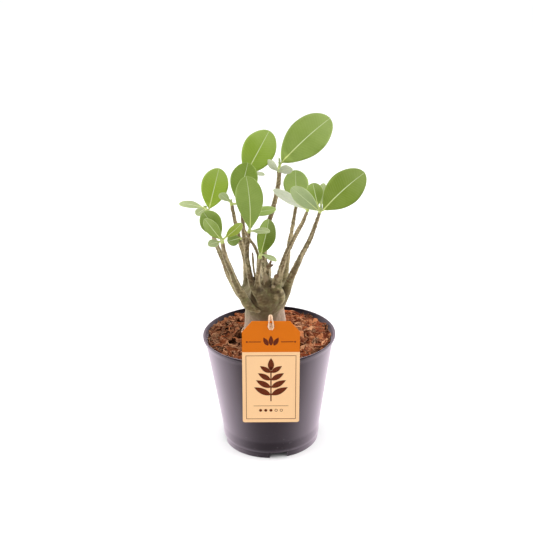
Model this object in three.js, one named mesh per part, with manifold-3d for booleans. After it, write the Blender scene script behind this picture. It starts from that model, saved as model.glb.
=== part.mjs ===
// A small desert rose (adenium) in a plastic nursery pot, with a swing tag tied round its trunk.
// Millimetres, +Z up. The origin is on the pot's axis, on the surface that the pot stands on.
// The front is towards -Y and the right is towards +X.
import * as THREE from "three";
import { mergeVertices } from "three/addons/utils/BufferGeometryUtils.js";
import Module from "manifold-3d";

const wasm = await Module();
wasm.setup();

// ---------------------------------------------------------------- driving dimensions
const CLEAR = 0.3; // gap between two pieces that touch

const POT_HEIGHT = 105;
const LIP_RADIUS = 60;
const LIP_DROP = 3.6; // height of the rolled lip
const LIP_INNER_RADIUS = 58.5;
const WALL_TOP_RADIUS = 58; // outside of the wall, just under the lip
const WALL_BEND = [45, 16]; // radius and height where the wall starts to widen
const WALL_FOOT_RADIUS = 44.4; // outside of the wall, where the foot ring starts
const WALL = 1.4;
const FOOT_HEIGHT = 6;
const FOOT_RADIUS = 43.6;
const FOOT_WALL = 2.2;
const FLOOR_UNDERSIDE = 5;
const FLOOR_TOP = 6.6;
const NOTCH_WIDTH = 16;
const NOTCH_HEIGHT = 5;
const NOTCH_COUNT = 4;
const FRONT_NOTCH_ANGLE = THREE.MathUtils.degToRad(-82); // 8 degrees right of the front
const DRAIN_RADIUS = 4;
const DRAIN_CIRCLE = 29;
const POT_SIDES = 64;

const SOIL_TOP = 97; // at the trunk; the chips stand a few millimetres higher
const SOIL_EDGE_DROP = 2.5;
const SOIL_CROWN_RADIUS = 24; // the soil is level out to here
const SOIL_SHOULDER = [42, 1]; // radius, and how far the soil has dropped there
const CHIP_TOP_LIMIT = 104.4;

const TRUNK_X = -3.3; // the trunk stands a little left of the pot's axis
const ROOT_DEPTH_Z = 62;
const TRUNK_SIDES = 26;
const BRANCH_SIDES = 8;
const TWIG_SIDES = 6;

const LEAF_THICKNESS = 0.8;
const PETIOLE_HALF_WIDTH = 0.9;

const TAG_WIDTH = 49;
const TAG_HEIGHT = 96.5;
const TAG_THICKNESS = 0.8;
const TAG_BOTTOM_Z = 47.5;
const TAG_CENTRE_X = 0.7;
const TAG_TWIST = THREE.MathUtils.degToRad(1.1); // turned clockwise, seen from the front
const TAG_SHOULDER = [8.5, 10]; // the clipped top corners, across and down
const TAG_CORNER = 2;
const TAG_HOLE_RADIUS = 3;
const TAG_HOLE_DROP = 4.4; // centre of the hole under the top edge

const CORD_RADIUS = 0.6;
const CORD_SIDES = 6;
const CORD_RING_Z = 106.5; // where the tie goes round the trunk, behind the tag
const TRUNK_RADIUS_AT_TIE = 19.8;
const TIE_RING_OPENING = 8; // degrees to each side of the front where the two strands leave the ring
const TIE_RING_SPANS = 14;

// ---------------------------------------------------------------- solids and geometry
const vec = ([x, y, z]) => new THREE.Vector3(x, y, z);

/** Keeps only the shared corners of a closed geometry. */
function bare(geometry) {
  const copy = geometry.clone();
  copy.deleteAttribute("normal");
  copy.deleteAttribute("uv");
  return mergeVertices(copy, 1e-4);
}

function signedVolume(positions, triangles) {
  const corner = (i) => new THREE.Vector3().fromArray(positions, 3 * i);
  let sum = 0;
  for (let i = 0; i < triangles.length; i += 3) {
    const [a, b, c] = [corner(triangles[i]), corner(triangles[i + 1]), corner(triangles[i + 2])];
    sum += a.dot(b.cross(c));
  }
  return sum / 6;
}

/** A solid from a closed geometry, with its faces turned outwards and empty triangles left out. */
function solid(geometry) {
  const merged = bare(geometry);
  const vertProperties = new Float32Array(merged.attributes.position.array);
  const triangles = [];
  const index = merged.index.array;
  for (let i = 0; i < index.length; i += 3) {
    const [a, b, c] = [index[i], index[i + 1], index[i + 2]];
    if (a !== b && b !== c && c !== a) triangles.push(a, b, c);
  }
  if (signedVolume(vertProperties, triangles) < 0) triangles.reverse();
  const triVerts = new Uint32Array(triangles);
  return new wasm.Manifold(new wasm.Mesh({ numProp: 3, vertProperties, triVerts }));
}

const join = (solids) => solids.reduce((sum, next) => sum.add(next));

/** The largest connected piece: loose scraps of a cut are dropped. */
function largestPiece(body) {
  const pieces = body.decompose();
  return pieces.reduce((best, next) => (next.volume() > best.volume() ? next : best));
}

function geometryOf(body) {
  const mesh = body.getMesh();
  const geometry = new THREE.BufferGeometry();
  geometry.setAttribute("position", new THREE.BufferAttribute(new Float32Array(mesh.vertProperties), 3));
  geometry.setIndex(new THREE.BufferAttribute(new Uint32Array(mesh.triVerts), 1));
  geometry.computeVertexNormals();
  return geometry;
}

/** A closed skin through rings of equally many points, with a fan over each end. */
function loft(rings, { mirrorSecondHalf = false } = {}) {
  const count = rings[0].length;
  const positions = [];
  const index = [];
  for (const ring of rings) for (const point of ring) positions.push(point.x, point.y, point.z);
  for (let i = 0; i + 1 < rings.length; i += 1) {
    for (let j = 0; j < count; j += 1) {
      const a = i * count + j;
      const b = i * count + ((j + 1) % count);
      const [c, d] = [a + count, b + count];
      if (mirrorSecondHalf && j >= count / 2) index.push(a, b, c, b, d, c);
      else index.push(a, b, d, a, d, c);
    }
  }
  for (const [start, flip] of [[0, true], [(rings.length - 1) * count, false]]) {
    const middle = positions.length / 3;
    const ring = rings[start / count];
    const centre = ring.reduce((sum, point) => sum.add(point), new THREE.Vector3()).divideScalar(count);
    positions.push(centre.x, centre.y, centre.z);
    for (let j = 0; j < count; j += 1) {
      const [a, b] = [start + j, start + ((j + 1) % count)];
      index.push(...(flip ? [b, a, middle] : [a, b, middle]));
    }
  }
  const geometry = new THREE.BufferGeometry();
  geometry.setAttribute("position", new THREE.Float32BufferAttribute(positions, 3));
  geometry.setIndex(index);
  return geometry;
}

/** A tapered round stem through points [x, y, z, radius]. */
function stem(points, sides = BRANCH_SIDES) {
  const curve = new THREE.CatmullRomCurve3(points.map(vec), false, "centripetal");
  const rings = [];
  for (const [i, [, , , radius]] of points.entries()) {
    const t = i / (points.length - 1);
    const centre = curve.getPoint(t);
    const along = curve.getTangent(t);
    const across = new THREE.Vector3(1, 0.2, 0).cross(along).normalize();
    const third = along.clone().cross(across);
    const ring = [];
    for (let j = 0; j < sides; j += 1) {
      const angle = (2 * Math.PI * j) / sides;
      const offset = across.clone().multiplyScalar(Math.cos(angle) * radius);
      ring.push(offset.addScaledVector(third, Math.sin(angle) * radius).add(centre));
    }
    rings.push(ring);
  }
  return solid(loft(rings));
}

/** A body turned round the vertical line at (x, y), from [radius, z] pairs. */
function turned(profile, sides, [x, y] = [0, 0]) {
  const lathe = new THREE.LatheGeometry(profile.map(([r, z]) => new THREE.Vector2(r, z)), sides);
  lathe.rotateX(Math.PI / 2);
  lathe.translate(x, y, 0);
  return solid(lathe);
}

function box(size, { at, turn = [0, 0, 0] }) {
  const geometry = new THREE.BoxGeometry(...size);
  const angles = turn.map(THREE.MathUtils.degToRad);
  geometry.applyMatrix4(new THREE.Matrix4().makeRotationFromEuler(new THREE.Euler(...angles, "ZYX")));
  geometry.translate(...at);
  return solid(geometry);
}

function upright(radius, [x, y], [low, high], sides) {
  const geometry = new THREE.CylinderGeometry(radius, radius, high - low, sides);
  geometry.rotateX(Math.PI / 2);
  geometry.translate(x, y, (low + high) / 2);
  return solid(geometry);
}

// ---------------------------------------------------------------- materials
const finish = (color, roughness) => new THREE.MeshStandardMaterial({ color, roughness, metalness: 0 });
const MATERIALS = {
  pot: finish(0x2b262c, 0.38),
  bark: finish(0x7d7258, 0.78),
  leaf: finish(0x7f9c48, 0.5),
  soil: finish(0x7a3f28, 0.9),
  tag: finish(0xf5cf9b, 0.6),
  cord: finish(0xf1dcc4, 0.8),
};

const plant = new THREE.Group();
plant.name = "potted_desert_rose";

function place(name, body, material) {
  const mesh = new THREE.Mesh(geometryOf(body), material.clone());
  mesh.name = name;
  plant.add(mesh);
}

// ---------------------------------------------------------------- pot
/** Outside radius of the wall at height z: nearly upright at the foot, then evenly tapered. */
function wallRadius(z) {
  const [bendRadius, bendZ] = WALL_BEND;
  if (z < bendZ) return THREE.MathUtils.mapLinear(z, FOOT_HEIGHT, bendZ, WALL_FOOT_RADIUS, bendRadius);
  return THREE.MathUtils.mapLinear(z, bendZ, POT_HEIGHT - LIP_DROP, bendRadius, WALL_TOP_RADIUS);
}

const innerRadius = (z) => wallRadius(z) - WALL;

function makePot() {
  const lipFoot = POT_HEIGHT - LIP_DROP;
  const body = turned([
    [0, FLOOR_UNDERSIDE],
    [FOOT_RADIUS - FOOT_WALL, FLOOR_UNDERSIDE],
    [FOOT_RADIUS - FOOT_WALL, 0],
    [FOOT_RADIUS, 0],
    [FOOT_RADIUS, FOOT_HEIGHT - 0.6],
    [WALL_FOOT_RADIUS, FOOT_HEIGHT],
    WALL_BEND,
    [WALL_TOP_RADIUS, lipFoot],
    [LIP_RADIUS, lipFoot + 1.5],
    [LIP_RADIUS, POT_HEIGHT - 0.6],
    [LIP_RADIUS - 0.5, POT_HEIGHT],
    [LIP_INNER_RADIUS + 0.4, POT_HEIGHT],
    [LIP_INNER_RADIUS, POT_HEIGHT - 0.5],
    [LIP_INNER_RADIUS - 0.2, lipFoot + 1.5],
    [innerRadius(lipFoot), lipFoot],
    [innerRadius(WALL_BEND[1]), WALL_BEND[1]],
    [innerRadius(FLOOR_TOP), FLOOR_TOP],
    [0, FLOOR_TOP],
  ], POT_SIDES);
  const cuts = [upright(DRAIN_RADIUS, [0, 0], [0, FLOOR_TOP + 5], 16)];
  for (let i = 0; i < NOTCH_COUNT; i += 1) {
    const angle = FRONT_NOTCH_ANGLE + (2 * Math.PI * i) / NOTCH_COUNT;
    const outwards = [Math.cos(angle), Math.sin(angle)];
    cuts.push(box([14, NOTCH_WIDTH, 2 * NOTCH_HEIGHT], {
      at: [outwards[0] * FOOT_RADIUS, outwards[1] * FOOT_RADIUS, 0],
      turn: [0, 0, THREE.MathUtils.radToDeg(angle)],
    }));
    const drain = outwards.map((part) => part * DRAIN_CIRCLE);
    cuts.push(upright(DRAIN_RADIUS, drain, [0, FLOOR_TOP + 5], 16));
  }
  return body.subtract(join(cuts));
}

// ---------------------------------------------------------------- trunk
// [radius, height] of the trunk: the sunk root, the neck, and the swollen head that the
// branches grow from.
const ROOT_PROFILE = [[0, ROOT_DEPTH_Z], [13, ROOT_DEPTH_Z], [17, 70], [20.5, 82], [21.5, 92]];
const NECK_PROFILE = [[20.8, 100], [TRUNK_RADIUS_AT_TIE, CORD_RING_Z], [18.6, 117], [17.7, 125], [17.3, 130]];
const HEAD_PROFILE = [
  [18, 133.5], [19, 137.5], [20.6, 142.5], [19.6, 147], [16, 151.5], [10, 154.5], [0, 156],
];

/** The hole that the trunk stands in. */
function trunkHole() {
  const grown = [...ROOT_PROFILE.slice(1), ...NECK_PROFILE].map(([r, z]) => [r + CLEAR, z]);
  const top = NECK_PROFILE.at(-1)[1];
  const profile = [[0, ROOT_DEPTH_Z - CLEAR], [13 + CLEAR, ROOT_DEPTH_Z - CLEAR], ...grown, [0, top]];
  return turned(profile, TRUNK_SIDES, [TRUNK_X, 0]);
}

// Each branch is a list of [x, y, z, radius], from inside the head to its tip.
const BRANCHES = {
  farLeft: [[-20, -2, 140, 5], [-27, 0, 146.5, 4], [-31, 4, 152.5, 3.3], [-35, 8, 158.5, 2.8],
    [-39, 14, 169, 2.4], [-43.5, 19, 178.5, 2.2], [-48.5, 25, 191, 1.8], [-53.5, 34, 209.5, 1.4]],
  left: [[-9.5, -16, 134, 2.2], [-14, -17, 136.5, 3.4], [-18.4, -18.3, 141.5, 4.2],
    [-24.2, -19, 152.5, 3.8], [-28.9, -19, 164.5, 2.9], [-33, -20, 177.5, 2.4],
    [-36.4, -22, 188.5, 2.2], [-38, -25, 201.5, 1.9]],
  leftRear: [[-15, 4, 137, 6], [-18.3, 5, 148, 4.2], [-19.4, 5.5, 158, 3], [-19.8, 6, 170, 2.3],
    [-21, 7, 179, 2.1], [-23.6, 7, 189, 2], [-27.6, 8, 208.5, 1.7], [-30, 8, 223.5, 1.6]],
  front: [[-7.5, -13, 143.5, 4.8], [-10.4, -15, 151.5, 4.4], [-13.2, -15, 157.5, 3.7],
    [-14.9, -14.8, 162.5, 3.1], [-16.6, -14, 171.5, 2.5], [-17.7, -12.8, 181, 2.3],
    [-17.9, -12, 190, 2.3], [-16.5, -13, 199.5, 2], [-15.5, -15, 206.5, 1.7]],
  fork: [[-17.5, -10.5, 189, 2.2], [-20, -7, 199, 2], [-20.5, -1, 209, 1.7], [-21, 5, 218, 1.5],
    [-19, 14, 231.5, 1.3], [-16.8, 21, 243, 1.2]],
  tall: [[-2, 3, 139, 9], [-2, 5, 148, 7], [-2.8, 7, 155, 4.8], [-3.3, 10, 164, 3.3], [-3, 12.5, 175, 2.7],
    [-0.8, 16.5, 197.5, 2.3], [4, 18, 211, 2.2], [8.2, 20, 226, 2.1], [11, 22, 239, 2],
    [12, 24, 250.5, 1.8]],
  centre: [[-6.5, -13, 142, 5], [-6.8, -16.5, 152, 3.4], [-7.2, -18, 160, 2.4], [-7.6, -18.8, 172, 2],
    [-6.8, -19.8, 184.5, 1.7]],
  farRight: [[10.5, -5, 137, 5], [15, -7.5, 147, 4.4], [18.8, -10, 159, 3.5], [24.2, -13, 172.5, 2.9],
    [29, -16, 184.5, 2.4], [37, -20, 202.5, 2], [42.5, -24, 220, 1.7], [44.5, -26, 227, 1.5]],
  right: [[4, -8, 145, 6], [7.3, -12, 154, 4.2], [9.2, -14, 162, 3.3], [11.2, -15, 170, 2.9],
    [14, -16, 180.5, 2.5], [17, -17, 189, 2.2], [20.9, -18, 197.5, 2], [25.7, -20, 208, 1.8],
    [30.5, -22, 217.5, 1.7], [34, -24, 227.5, 1.4]],
  rightRear: [[9, 6, 138, 7], [12.5, 10, 148, 4.4], [15, 12, 154.5, 3.2], [17, 14, 162, 2.4],
    [18.5, 16, 171.5, 2], [19.3, 18, 182.5, 1.9], [22, 20, 194, 1.8], [25.8, 24, 213.5, 1.7]],
  sideShoot: [[-8, -18.2, 172, 1.7], [-10, -19.3, 186, 1.2], [-11.3, -19.8, 196, 1.1],
    [-14.5, -19.5, 202.5, 1.1], [-17.5, -20, 208, 1], [-19.8, -21, 214, 0.8]],
};

// The mound in the middle of the head, and its short dead twigs, cut stubs and scars.
const STUBS = [
  [[-3, -4, 149, 9], [-2.5, -9, 155.5, 6.3]],
  [[-8.5, -13, 150, 1.8], [-10.5, -14, 161.5, 1.2], [-12, -15, 170.5, 0.9], [-12.7, -15, 180, 0.9],
    [-12.9, -15, 188, 0.7]],
  [[-1.5, -2, 153, 2.6], [-0.8, -6, 163, 1.7], [0, -9, 169.5, 1.3], [1.6, -9, 173.5, 1.1],
    [2.9, -9, 177.6, 0.8]],
  [[0.3, -9, 169.5, 0.9], [-0.7, -10, 174, 0.6]],
  [[1.6, -9, 172, 0.9], [4.5, -9.5, 174.5, 0.6]],
  [[5, -11, 156, 2.8], [6, -14, 161.5, 2.2], [7, -16.5, 167, 1.5]],
  [[6, -9, 142, 5.5], [8, -13, 148, 4.6], [8, -15.5, 154, 3]],
];

function makeTrunk() {
  const body = turned([...ROOT_PROFILE, ...NECK_PROFILE, ...HEAD_PROFILE], TRUNK_SIDES, [TRUNK_X, 0]);
  const branches = Object.values(BRANCHES).map((points) => stem(points));
  const stubs = STUBS.map((points) => stem(points, TWIG_SIDES));
  return largestPiece(join([body, ...branches, ...stubs]));
}

// ---------------------------------------------------------------- growing medium
// Bark chips that show best: [length, width, thickness], centre, and turn in degrees about x, y, z.
const NAMED_CHIPS = [
  [[14, 12, 5], [34, -25, 99.5], [14, -4, 4]],
  [[15, 9, 4], [-32, -27, 99], [20, 8, -12]],
  [[13, 8, 3.5], [-52, -3, 99.5], [8, 22, 70]],
  [[12, 7, 3], [-50, 12, 98.5], [-10, 18, 40]],
  [[16, 7, 3.5], [40, 6, 98.5], [12, -10, 25]],
  [[14, 8, 3.5], [-26, 34, 98.5], [-14, 6, -20]],
  [[13, 8, 3.5], [22, -46, 98.5], [12, 10, -30]],
];
const LOOSE_CHIPS = 40;
const CHIP_SEED = 7;

function makeSoil() {
  const edgeTop = SOIL_TOP - SOIL_EDGE_DROP;
  const bed = turned([
    [0, FLOOR_TOP + CLEAR],
    [innerRadius(FLOOR_TOP) - CLEAR, FLOOR_TOP + CLEAR],
    [innerRadius(WALL_BEND[1]) - CLEAR, WALL_BEND[1]],
    [innerRadius(edgeTop) - CLEAR, edgeTop],
    [SOIL_SHOULDER[0], SOIL_TOP - SOIL_SHOULDER[1]],
    [SOIL_CROWN_RADIUS, SOIL_TOP],
    [0, SOIL_TOP],
  ], 40);
  const chips = NAMED_CHIPS.map(([size, at, turn]) => box(size, { at, turn }));
  const random = THREE.MathUtils.seededRandom;
  random(CHIP_SEED);
  const between = (low, high) => THREE.MathUtils.lerp(low, high, random());
  for (let i = 0; i < LOOSE_CHIPS; i += 1) {
    const distance = Math.sqrt(between(SOIL_CROWN_RADIUS ** 2, innerRadius(SOIL_TOP) ** 2));
    const angle = between(0, 2 * Math.PI);
    chips.push(box([between(9, 17), between(5, 9), between(2, 4)], {
      at: [distance * Math.cos(angle), distance * Math.sin(angle), SOIL_TOP + between(0, 2.2)],
      turn: [between(-24, 24), between(-24, 24), between(0, 180)],
    }));
  }
  const inside = turned([
    [0, SOIL_TOP - 20],
    [innerRadius(SOIL_TOP - 20) - CLEAR, SOIL_TOP - 20],
    [innerRadius(CHIP_TOP_LIMIT) - CLEAR, CHIP_TOP_LIMIT],
    [0, CHIP_TOP_LIMIT],
  ], 40);
  return largestPiece(bed.add(join(chips).intersect(inside)).subtract(trunkHole()));
}

// ---------------------------------------------------------------- leaves
// Where the blade is widest sets the power: sin(pi t^power) peaks there.
function outline(t, widest) {
  const power = Math.log(0.5) / Math.log(widest);
  return Math.sin(Math.PI * t ** power) ** (0.6 - 0.1 * t);
}

/**
 * One leaf: a petiole from `root` to `base`, then an obovate blade from `base` to `tip`.
 * `face` is the way the upper side looks, `bow` bends the midrib sideways, and `fold` raises
 * the two halves into a shallow trough.
 */
function leaf(shape) {
  const { root, base, tip, width, face, widest = 0.58, bow = 0, fold = 0.12 } = shape;
  const [start, foot, end] = [vec(root), vec(base), vec(tip)];
  const axis = end.clone().sub(foot);
  const length = axis.length();
  axis.normalize();
  const up = vec(face).addScaledVector(axis, -vec(face).dot(axis)).normalize();
  const side = axis.clone().cross(up);
  const big = width > 12;
  const across = big ? [-1, -0.5, 0, 0.5, 1] : [-1, 0, 1];
  const stops = big
    ? [0, 0.07, 0.17, 0.3, 0.45, 0.6, 0.74, 0.86, 0.95, 1]
    : [0, 0.14, 0.32, 0.55, 0.76, 0.92, 1];
  const ringAt = (centre, half, thick, lift) => {
    const height = (u, sign) => lift * fold * Math.abs(u) * half + (sign * thick) / 2;
    const point = (u, sign) => {
      const sideways = centre.clone().addScaledVector(side, u * half);
      return sideways.addScaledVector(up, height(u, sign));
    };
    return [...across.map((u) => point(u, 1)), ...across.toReversed().map((u) => point(u, -1))];
  };
  const rings = [ringAt(start, PETIOLE_HALF_WIDTH, LEAF_THICKNESS + 0.4, 0)];
  for (const t of stops) {
    const hump = 4 * t * (1 - t);
    const centre = foot.clone().addScaledVector(axis, t * length);
    centre.addScaledVector(side, bow * hump);
    const floor = THREE.MathUtils.lerp(PETIOLE_HALF_WIDTH, 0.5, t);
    const half = Math.max(floor, (width / 2) * outline(Math.min(t, 0.999), widest));
    rings.push(ringAt(centre, half, LEAF_THICKNESS, 1));
  }
  return solid(loft(rings, { mirrorSecondHalf: true }));
}

/** The green growing tip that a branch ends in, 0.3 mm past the bark. */
function bud(points, length = 4) {
  const [before, last] = points.slice(-2);
  const along = vec(last).sub(vec(before)).normalize();
  const at = (distance) => vec(last).addScaledVector(along, distance).toArray();
  const radius = last[3] * 0.95;
  const rings = [[CLEAR, radius], [CLEAR + 0.6 * length, radius * 0.9], [CLEAR + length, radius * 0.45]];
  return { heart: at(CLEAR + 0.5 * length), body: stem(rings.map(([d, r]) => [...at(d), r])) };
}

// One spray of leaves for each branch: the branch it ends, and its leaves.
const SPRAYS = {
  leaves_tall_branch: { branch: "tall", leaves: [
    { base: [15.5, 25, 255.5], tip: [59.3, 42, 291], width: 33, widest: 0.55, bow: -1.2,
      face: [0.1, -1, 0.5] },
    { base: [11, 19, 250.6], tip: [3, 12, 262.4], width: 9, face: [-0.5, 0.9, 0.1] },
    { base: [11.4, 19, 250.6], tip: [21.3, 12, 253.2], width: 8.5, face: [0.3, 0.9, 0.2] },
    { base: [12.8, 24, 256], tip: [12, 22, 262.2], width: 3, face: [0, -1, 0] },
  ] },
  leaves_fork: { branch: "fork", leaves: [
    { base: [-16.2, 22.5, 247.3], tip: [4.1, 36, 282.7], width: 29, widest: 0.55, bow: 0.3,
      face: [0, -1, 0.5] },
    { base: [-14.5, 21, 248.5], tip: [-1, 14, 249.5], width: 7, face: [0, -0.3, 1] },
  ] },
  leaves_left_rear_branch: { branch: "leftRear", leaves: [
    { base: [-24.4, 7.5, 227.3], tip: [-15.1, 9, 261.3], width: 23.8, widest: 0.6,
      face: [0.1, -1, 0.3] },
    { base: [-32, 7, 228], tip: [-40, 1, 237.5], width: 7.5, face: [-0.4, 0.5, 0.5] },
  ] },
  leaves_front_branch: { branch: "front", leaves: [
    { base: [-14.5, -16.5, 210], tip: [-16.4, -20, 258], width: 23.5, widest: 0.62, bow: 1.5,
      face: [0, -1, 0.2] },
    { base: [-12.5, -17.5, 209], tip: [2, -29, 212.5], width: 8, face: [0, -0.5, 0.9] },
  ] },
  leaves_far_left_branch: { branch: "farLeft", leaves: [
    { base: [-51.5, 36, 212], tip: [-41.7, 45, 247], width: 24.5, widest: 0.58, face: [0, -1, 0.4] },
    { base: [-57, 35.5, 213.4], tip: [-79.6, 47, 214.9], width: 8.5, face: [0, -0.6, 0.8] },
    { base: [-55, 32, 213.3], tip: [-62.8, 25, 210.3], width: 9, face: [-0.3, -0.8, 0.6] },
  ] },
  leaves_left_branch: { branch: "left", leaves: [
    { base: [-39.1, -26.5, 208], tip: [-52.3, -33, 231.9], width: 18.2, widest: 0.62,
      face: [0.1, -1, 0.3] },
    { base: [-39.5, -29, 206.8], tip: [-51, -40, 228], width: 11, face: [0.2, -1, 0.1] },
    { base: [-40.3, -28.5, 204], tip: [-49.5, -36, 204], width: 8, face: [0.2, -0.6, 0.7] },
    { base: [-34.8, -27, 207.5], tip: [-21, -31, 220.5], width: 9.5, face: [0.3, -1, 0] },
  ] },
  leaves_centre_branch: { branch: "centre", leaves: [
    { base: [-5.4, -20.5, 192], tip: [3, -10, 216.5], width: 16.5, widest: 0.55, fold: 0.3,
      face: [0.1, -1, 0.2] },
    { base: [-3.8, -21.5, 188.7], tip: [7.5, -30, 186.2], width: 6, face: [0, -0.4, 1] },
  ] },
  leaves_far_right_branch: { branch: "farRight", leaves: [
    { base: [46.6, -28, 230.2], tip: [80.4, -46, 265], width: 27, widest: 0.58, bow: -2,
      face: [-0.1, -1, 0.3] },
    { base: [43, -28, 229.8], tip: [19, -39, 254], width: 13.5, widest: 0.55, face: [-0.2, 1, -0.1] },
    { base: [43.3, -24, 232.5], tip: [41, -12, 249], width: 14.5, widest: 0.6, face: [0, -1, 0.4] },
    { base: [45.6, -24, 232.5], tip: [48.8, -10, 248.2], width: 8, face: [0, -1, 0.5] },
  ] },
  leaves_right_branch: { branch: "right", leaves: [
    { base: [33, -24, 229.8], tip: [6, -18, 246.5], width: 10, face: [-0.2, 1, 0.1] },
  ] },
  leaves_right_rear_branch: { branch: "rightRear", leaves: [
    { base: [27, 25.5, 218], tip: [26.3, 34, 247], width: 22.5, widest: 0.6, face: [0, -1, 0.4] },
  ] },
};

// Two small leaves that grow from the side of the forked branch.
const SIDE_LEAVES = {
  leaf_low_on_fork: {
    root: [-22.3, -8.3, 198.3], base: [-23.9, -9.1, 198.5], tip: [-34.5, -14, 198.7],
    width: 9, face: [0, -1, 0.5],
  },
  leaf_high_on_fork: {
    root: [-19, 4.6, 217.8], base: [-17, 4.4, 218.2], tip: [8.3, 3, 221.5],
    width: 8.5, bow: 0.5, face: [0, -1, 0.4],
  },
};

function makeSpray({ branch, leaves }) {
  const { heart, body } = bud(BRANCHES[branch]);
  return join([body, ...leaves.map((entry) => leaf({ root: heart, ...entry }))]);
}

// ---------------------------------------------------------------- swing tag and its tie
const TAG_BACK_Y = -(LIP_RADIUS + CLEAR + 0.05);
const TAG_TOP_Z = TAG_BOTTOM_Z + TAG_HEIGHT;

/** Turns a body from the tag's own frame (x across, z up from its middle) to the plant's. */
function turnWithTag(geometry) {
  geometry.rotateY(TAG_TWIST);
  geometry.translate(TAG_CENTRE_X, TAG_BACK_Y, TAG_BOTTOM_Z + TAG_HEIGHT / 2);
  return geometry;
}

function makeTag() {
  const [half, top] = [TAG_WIDTH / 2, TAG_HEIGHT / 2];
  const [across, down] = TAG_SHOULDER;
  const shape = new THREE.Shape();
  shape.moveTo(-half + TAG_CORNER, -top);
  shape.lineTo(half - TAG_CORNER, -top);
  shape.absarc(half - TAG_CORNER, -top + TAG_CORNER, TAG_CORNER, -Math.PI / 2, 0, false);
  shape.lineTo(half, top - down);
  shape.lineTo(half - across, top);
  shape.lineTo(-half + across, top);
  shape.lineTo(-half, top - down);
  shape.absarc(-half + TAG_CORNER, -top + TAG_CORNER, TAG_CORNER, Math.PI, 1.5 * Math.PI, false);
  const hole = new THREE.Path();
  hole.absarc(0, top - TAG_HOLE_DROP, TAG_HOLE_RADIUS, 0, 2 * Math.PI, true);
  shape.holes.push(hole);
  const options = { depth: TAG_THICKNESS, bevelEnabled: false, curveSegments: 5 };
  const card = new THREE.ExtrudeGeometry(shape, options);
  card.rotateX(Math.PI / 2);
  return solid(turnWithTag(card));
}

/** A round cord along a closed curve through points, with two rings of corners for each point. */
function closedCord(points) {
  const curve = new THREE.CatmullRomCurve3(points.map(vec), true, "centripetal");
  const count = 2 * points.length;
  const stations = Array.from({ length: count }, (_, i) => i / count);
  const tangents = stations.map((t) => curve.getTangent(t));
  const across = (previous, tangent) => {
    const flat = previous.clone().addScaledVector(tangent, -previous.dot(tangent));
    return flat.normalize();
  };
  const normals = [across(new THREE.Vector3(0, 0, 1), tangents[0])];
  for (const tangent of tangents.slice(1)) normals.push(across(normals.at(-1), tangent));
  const carried = across(normals.at(-1), tangents[0]);
  const quarter = tangents[0].clone().cross(normals[0]);
  const twist = Math.atan2(carried.dot(quarter), carried.dot(normals[0]));
  const positions = [];
  const index = [];
  stations.forEach((t, i) => {
    const centre = curve.getPoint(t);
    for (let j = 0; j < CORD_SIDES; j += 1) {
      const angle = (2 * Math.PI * j) / CORD_SIDES - twist * t;
      const arm = normals[i].clone().applyAxisAngle(tangents[i], angle).multiplyScalar(CORD_RADIUS);
      positions.push(...arm.add(centre).toArray());
      const [a, b] = [i * CORD_SIDES + j, i * CORD_SIDES + ((j + 1) % CORD_SIDES)];
      const [c, d] = [a, b].map((corner) => (corner + CORD_SIDES) % (count * CORD_SIDES));
      index.push(a, b, d, a, d, c);
    }
  });
  const geometry = new THREE.BufferGeometry();
  geometry.setAttribute("position", new THREE.Float32BufferAttribute(positions, 3));
  geometry.setIndex(index);
  return solid(geometry);
}

/**
 * The tie is one loop of cord. It goes round the trunk, comes forward as two strands over the tag's top
 * edge, down in front of the tag as the two sides of a drop, back through the hole, and up behind the
 * tag to a bight that the two strands pass under.
 */
function makeTie() {
  const holeX = TAG_CENTRE_X + Math.sin(TAG_TWIST) * (TAG_HEIGHT / 2 - TAG_HOLE_DROP);
  const holeZ = TAG_TOP_Z - TAG_HOLE_DROP;
  const frontY = TAG_BACK_Y - TAG_THICKNESS - CORD_RADIUS - 0.25;
  const cardY = TAG_BACK_Y - TAG_THICKNESS / 2;
  const backY = TAG_BACK_Y + CORD_RADIUS + 0.25;
  const peakZ = TAG_TOP_Z + 3.6;
  const middle = (y) => TRUNK_X + (holeX - TRUNK_X) * (y / frontY);
  // [sideways from the middle line, y, z] of one half, from the bight down to the trunk
  const half = [
    [1.7, backY + 0.7, peakZ - 0.2],
    [2.1, backY + 0.6, peakZ - 1.9],
    [1.8, backY + 0.3, TAG_TOP_Z - 0.2],
    [1.5, backY, holeZ],
    [1, cardY + 0.5, holeZ - 1.5],
    [1, cardY - 0.5, holeZ - 1.7],
    [1.8, frontY, holeZ - 2.4],
    [2.5, frontY, holeZ + 0.4],
    [2, frontY, TAG_TOP_Z + 0.3],
    [1.2, frontY + 0.4, peakZ - 1.2],
    [0.8, cardY + 0.4, peakZ],
    [0.8, backY + 1.4, peakZ - 1],
    [0.8, -50, 138],
    [0.9, -36, 123.5],
    [1.1, -26, 111.5],
  ];
  const ringRadius = TRUNK_RADIUS_AT_TIE + CLEAR + CORD_RADIUS + 0.5;
  const facing = Math.atan2(frontY, holeX - TRUNK_X);
  const ring = [];
  for (let i = 0; i <= TIE_RING_SPANS; i += 1) {
    const degrees = THREE.MathUtils.lerp(TIE_RING_OPENING, 360 - TIE_RING_OPENING, i / TIE_RING_SPANS);
    const angle = facing + THREE.MathUtils.degToRad(degrees);
    ring.push([TRUNK_X + ringRadius * Math.cos(angle), ringRadius * Math.sin(angle), CORD_RING_Z]);
  }
  const side = (sign) => half.map(([across, y, z]) => [middle(y) + sign * across, y, z]);
  const bight = [middle(backY), backY + 0.8, peakZ + 1.2];
  return closedCord([bight, ...side(1), ...ring, ...side(-1).reverse()]);
}

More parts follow.
